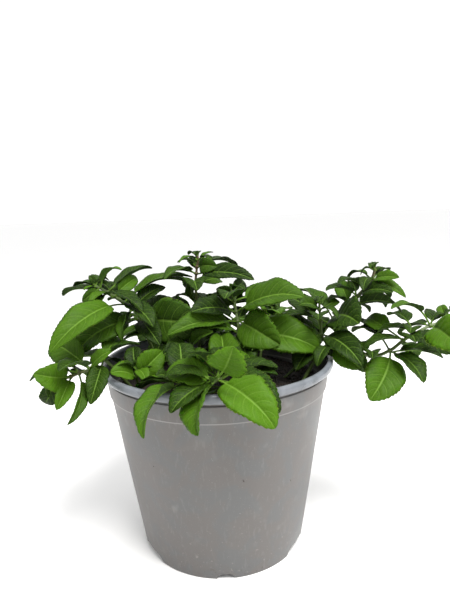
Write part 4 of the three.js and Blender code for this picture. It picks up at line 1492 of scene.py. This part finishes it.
def grown_leaves(joint, at, tangent, reach, corners):
    """Each of a joint's leaves that the frame has, with the place where it leaves the stem."""
    wanted = [(form, at) for form in joint["leaves"]]
    wanted += [(form, at + tangent * SIDE_STEP) for form in side_leaves(joint["leaves"])]
    found = [(grown_leaf(form, place, tangent, reach, corners), place) for form, place in wanted]
    return [(form, place) for form, place in found if form]


def node_corners(node):
    """A CAD node's corners, in millimetres."""
    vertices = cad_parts[node].data.vertices
    flat = np.empty(len(vertices) * 3)
    vertices.foreach_get("co", flat)
    return flat.reshape(-1, 3) / MM


def make_joint(plan, i, chance, stem_settings, leaf_settings, paints):
    """The piece of one joint: its swollen ring and its leaves, which start from the stem as shown."""
    node = f"{plan['name']}_leaves_{i + 1}"
    each = plan["joints"][i]
    share = (i + 1) / (len(plan["joints"]) + 1)
    at, tangent = route_point(plan, share)
    outer = (stem_half(plan, share) + COLLAR_PLAY) / math.cos(math.pi / COLLAR_SIDES) + COLLAR_WALL / 2
    inner = stem_half(plan, share) + JOINT_PLAY
    leaves = Surface()
    add_joint(leaves, at, tangent, inner, stem_settings.joint_height / MM, redness(plan, share))
    for form, place in grown_leaves(each, at, tangent, outer, node_corners(node)):
        longer = {**form, "length": form["length"] + outer - inner}
        add_leaf(leaves, longer, place, tangent, inner, chance, leaf_settings)
    shown_piece("blades_" + node, leaves.mesh(node, paints), [node])


def make_shoot(plan, seed, stem_settings, leaf_settings, paints, tree):
    """Makes a shoot's pieces: its stem with what is too young to part from it, and each joint's leaves."""
    chance = random.Random(seed)
    node = plan["name"] if plan["young"] else plan["name"] + "_stem"
    corners = node_corners(node)
    stem = Surface()
    add_stem(stem, plan, tree, stem_settings)
    for i, each in enumerate(plan["joints"]):
        if not each["young"]:
            make_joint(plan, i, chance, stem_settings, leaf_settings, paints)
            continue
        at, tangent = route_point(plan, (i + 1) / (len(plan["joints"]) + 1))
        for form, place in grown_leaves(each, at, tangent, YOUNG_REACH, corners):
            add_leaf(stem, form, place, tangent, YOUNG_REACH, chance, leaf_settings)
    add_bud(stem, plan, chance, leaf_settings)
    shown_piece("shoot_" + node, stem.mesh(node, paints), [node])


def make_shoots(stem_settings, leaf_settings):
    """All the shoots, which share their materials and the tree that sweeps their stems."""
    bark = stem_material(stem_settings)
    upper = leaf_material("leaf_upper_side", leaf_settings, UPPER_SIDE)
    lower = leaf_material("leaf_underside", leaf_settings, UNDERSIDE)
    tree = stem_tree(bark)
    for index, plan in enumerate(SHOOTS):
        seed = FIRST_SEED + index
        make_shoot(plan, seed, stem_settings, leaf_settings, [upper, lower, bark], tree)


# ---- Stage ----

FLOOR_REACH = 40.0
FLOOR_TONES = ((0.89, 0.888, 0.885), (0.92, 0.918, 0.915))
SENSOR = 36  # the width of the camera's sensor, in its own millimetres
KEY_LIGHT = {"place": (0.3, -0.5, 1.25), "aim": (0, 0, 0.12), "size": 0.7, "colour": (1.0, 0.985, 0.96)}
FILL_LIGHT = {"place": (0.9, -0.8, 0.6), "aim": (0, 0, 0.1), "size": 0.9, "colour": (0.96, 0.98, 1.0)}


def area_light(name, power, place, aim, size, colour):
    """A round soft light that looks at a point."""
    data = bpy.data.lights.new(name, "AREA")
    data.shape = "DISK"
    data.size = size
    data.energy = power
    data.color = colour
    light = bpy.data.objects.new(name, data)
    bpy.context.scene.collection.objects.link(light)
    light.location = place
    light.rotation_euler = (Vector(aim) - Vector(place)).to_track_quat("-Z", "Y").to_euler()


def make_floor():
    """A plain pale floor that runs to the horizon."""
    corners = [(x * FLOOR_REACH, y * FLOOR_REACH, 0) for x, y in ((-1, -1), (1, -1), (1, 1), (-1, 1))]
    mesh = bpy.data.meshes.new("floor")
    mesh.from_pydata(corners, [], [[0, 1, 2, 3]])

    def paint(tree):
        return {"Base Color": tree.mixed(tree.noise(9, 3), *FLOOR_TONES), "Roughness": 0.75}

    mesh.materials.append(material("pale_floor", paint))
    floor = bpy.data.objects.new("floor", mesh)
    bpy.context.scene.collection.objects.link(floor)
    floor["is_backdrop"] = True


def make_camera(settings):
    """The camera in front of the pot, turned by its yaw, pitch and roll."""
    pitch, yaw, roll = settings.pitch, settings.yaw, settings.roll
    ahead = Vector((-math.sin(yaw) * math.cos(pitch), math.cos(yaw) * math.cos(pitch), -math.sin(pitch)))
    right = Vector((math.cos(yaw), math.sin(yaw), 0))
    up = right.cross(ahead)
    rolled_right = right * math.cos(roll) + up * math.sin(roll)
    rolled_up = up * math.cos(roll) - right * math.sin(roll)
    data = bpy.data.cameras.new("camera")
    data.lens = settings.lens
    data.sensor_width = SENSOR
    camera = bpy.data.objects.new("camera", data)
    bpy.context.scene.collection.objects.link(camera)
    turn = Matrix((rolled_right, rolled_up, -ahead)).transposed().to_4x4()
    turn.translation = (0, -settings.distance, settings.eye)
    camera.matrix_world = turn
    bpy.context.scene.camera = camera


def make_stage(settings):
    """The floor, the two lights, the white surround and the camera."""
    make_floor()
    area_light("key", settings.key_power, **KEY_LIGHT)
    area_light("fill", settings.fill_power, **FILL_LIGHT)
    world = bpy.data.worlds.new("surround")
    world.use_nodes = True
    world.node_tree.nodes.clear()
    tree = Tree(world.node_tree)
    surround = tree.add("ShaderNodeBackground", {}, {"Color": (1, 1, 1, 1), "Strength": settings.sky})
    tree.add("ShaderNodeOutputWorld", {}, {"Surface": surround})
    bpy.context.scene.world = world
    bpy.context.scene.view_settings.view_transform = "Standard"
    make_camera(settings)


# ---- Operators and panel ----


class MINT_OT_pot(bpy.types.Operator):
    """Turn the nursery pot"""

    bl_idname = "mint.pot"
    bl_label = "Pot"
    bl_options = {"REGISTER", "UNDO"}

    def execute(self, context):
        made = make_pot(context.scene.mint_pot)
        if not made.data.polygons:
            raise RuntimeError("the pot has no faces")
        return {"FINISHED"}


class MINT_OT_soil(bpy.types.Operator):
    """Fill the pot with crumbly soil"""

    bl_idname = "mint.soil"
    bl_label = "Soil"
    bl_options = {"REGISTER", "UNDO"}

    def execute(self, context):
        made = make_soil(context.scene.mint_soil)
        if not made.data.polygons:
            raise RuntimeError("the soil has no faces")
        return {"FINISHED"}


class MINT_OT_shoots(bpy.types.Operator):
    """Grow the shoots with their joints, leaves and buds"""

    bl_idname = "mint.shoots"
    bl_label = "Shoots"
    bl_options = {"REGISTER", "UNDO"}

    def execute(self, context):
        make_shoots(context.scene.mint_stem, context.scene.mint_leaf)
        left = [name for name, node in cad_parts.items() if not node.hide_render]
        if left:
            raise RuntimeError(f"nothing stands for {left}")
        return {"FINISHED"}


class MINT_OT_stage(bpy.types.Operator):
    """Set the floor, the light and the camera"""

    bl_idname = "mint.stage"
    bl_label = "Stage"
    bl_options = {"REGISTER", "UNDO"}

    def execute(self, context):
        make_stage(context.scene.mint_stage)
        if context.scene.camera is None:
            raise RuntimeError("the stage has no camera")
        return {"FINISHED"}


class MINT_PT_panel(bpy.types.Panel):
    """The steps of the build and their settings"""

    bl_label = "Potted Mint"
    bl_idname = "MINT_PT_panel"
    bl_space_type = "VIEW_3D"
    bl_region_type = "UI"
    bl_category = "Potted Mint"

    def draw(self, context):
        for operator, groups in STEPS:
            box = self.layout.box()
            box.operator(operator)
            for group in groups:
                settings = getattr(context.scene, group)
                for name in settings.__annotations__:
                    box.prop(settings, name)


STEPS = [
    ("mint.pot", ["mint_pot"]),
    ("mint.soil", ["mint_soil"]),
    ("mint.shoots", ["mint_stem", "mint_leaf"]),
    ("mint.stage", ["mint_stage"]),
]
GROUPS = {
    "mint_pot": MintPotSettings,
    "mint_soil": MintSoilSettings,
    "mint_stem": MintStemSettings,
    "mint_leaf": MintLeafSettings,
    "mint_stage": MintStageSettings,
}
OPERATORS = [MINT_OT_pot, MINT_OT_soil, MINT_OT_shoots, MINT_OT_stage]


def register():
    """Registers the classes and gives the scene its settings."""
    for each in [*GROUPS.values(), *OPERATORS, MINT_PT_panel]:
        bpy.utils.register_class(each)
    for name, group in GROUPS.items():
        setattr(bpy.types.Scene, name, PointerProperty(type=group))


def unregister():
    """Takes the settings and the classes away again."""
    for name in GROUPS:
        delattr(bpy.types.Scene, name)
    for each in [MINT_PT_panel, *reversed(OPERATORS), *reversed(GROUPS.values())]:
        bpy.utils.unregister_class(each)


def main():
    """Builds everything and works out the sizes."""
    register()
    bpy.ops.mint.pot()
    bpy.ops.mint.soil()
    bpy.ops.mint.shoots()
    bpy.ops.mint.stage()
    boxes = {"cad": BOX_AT_LOAD, "visual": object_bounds()}
    sizes = {name: [list(corner) for corner in box] for name, box in boxes.items()}


if __name__ == "__main__":
    main()
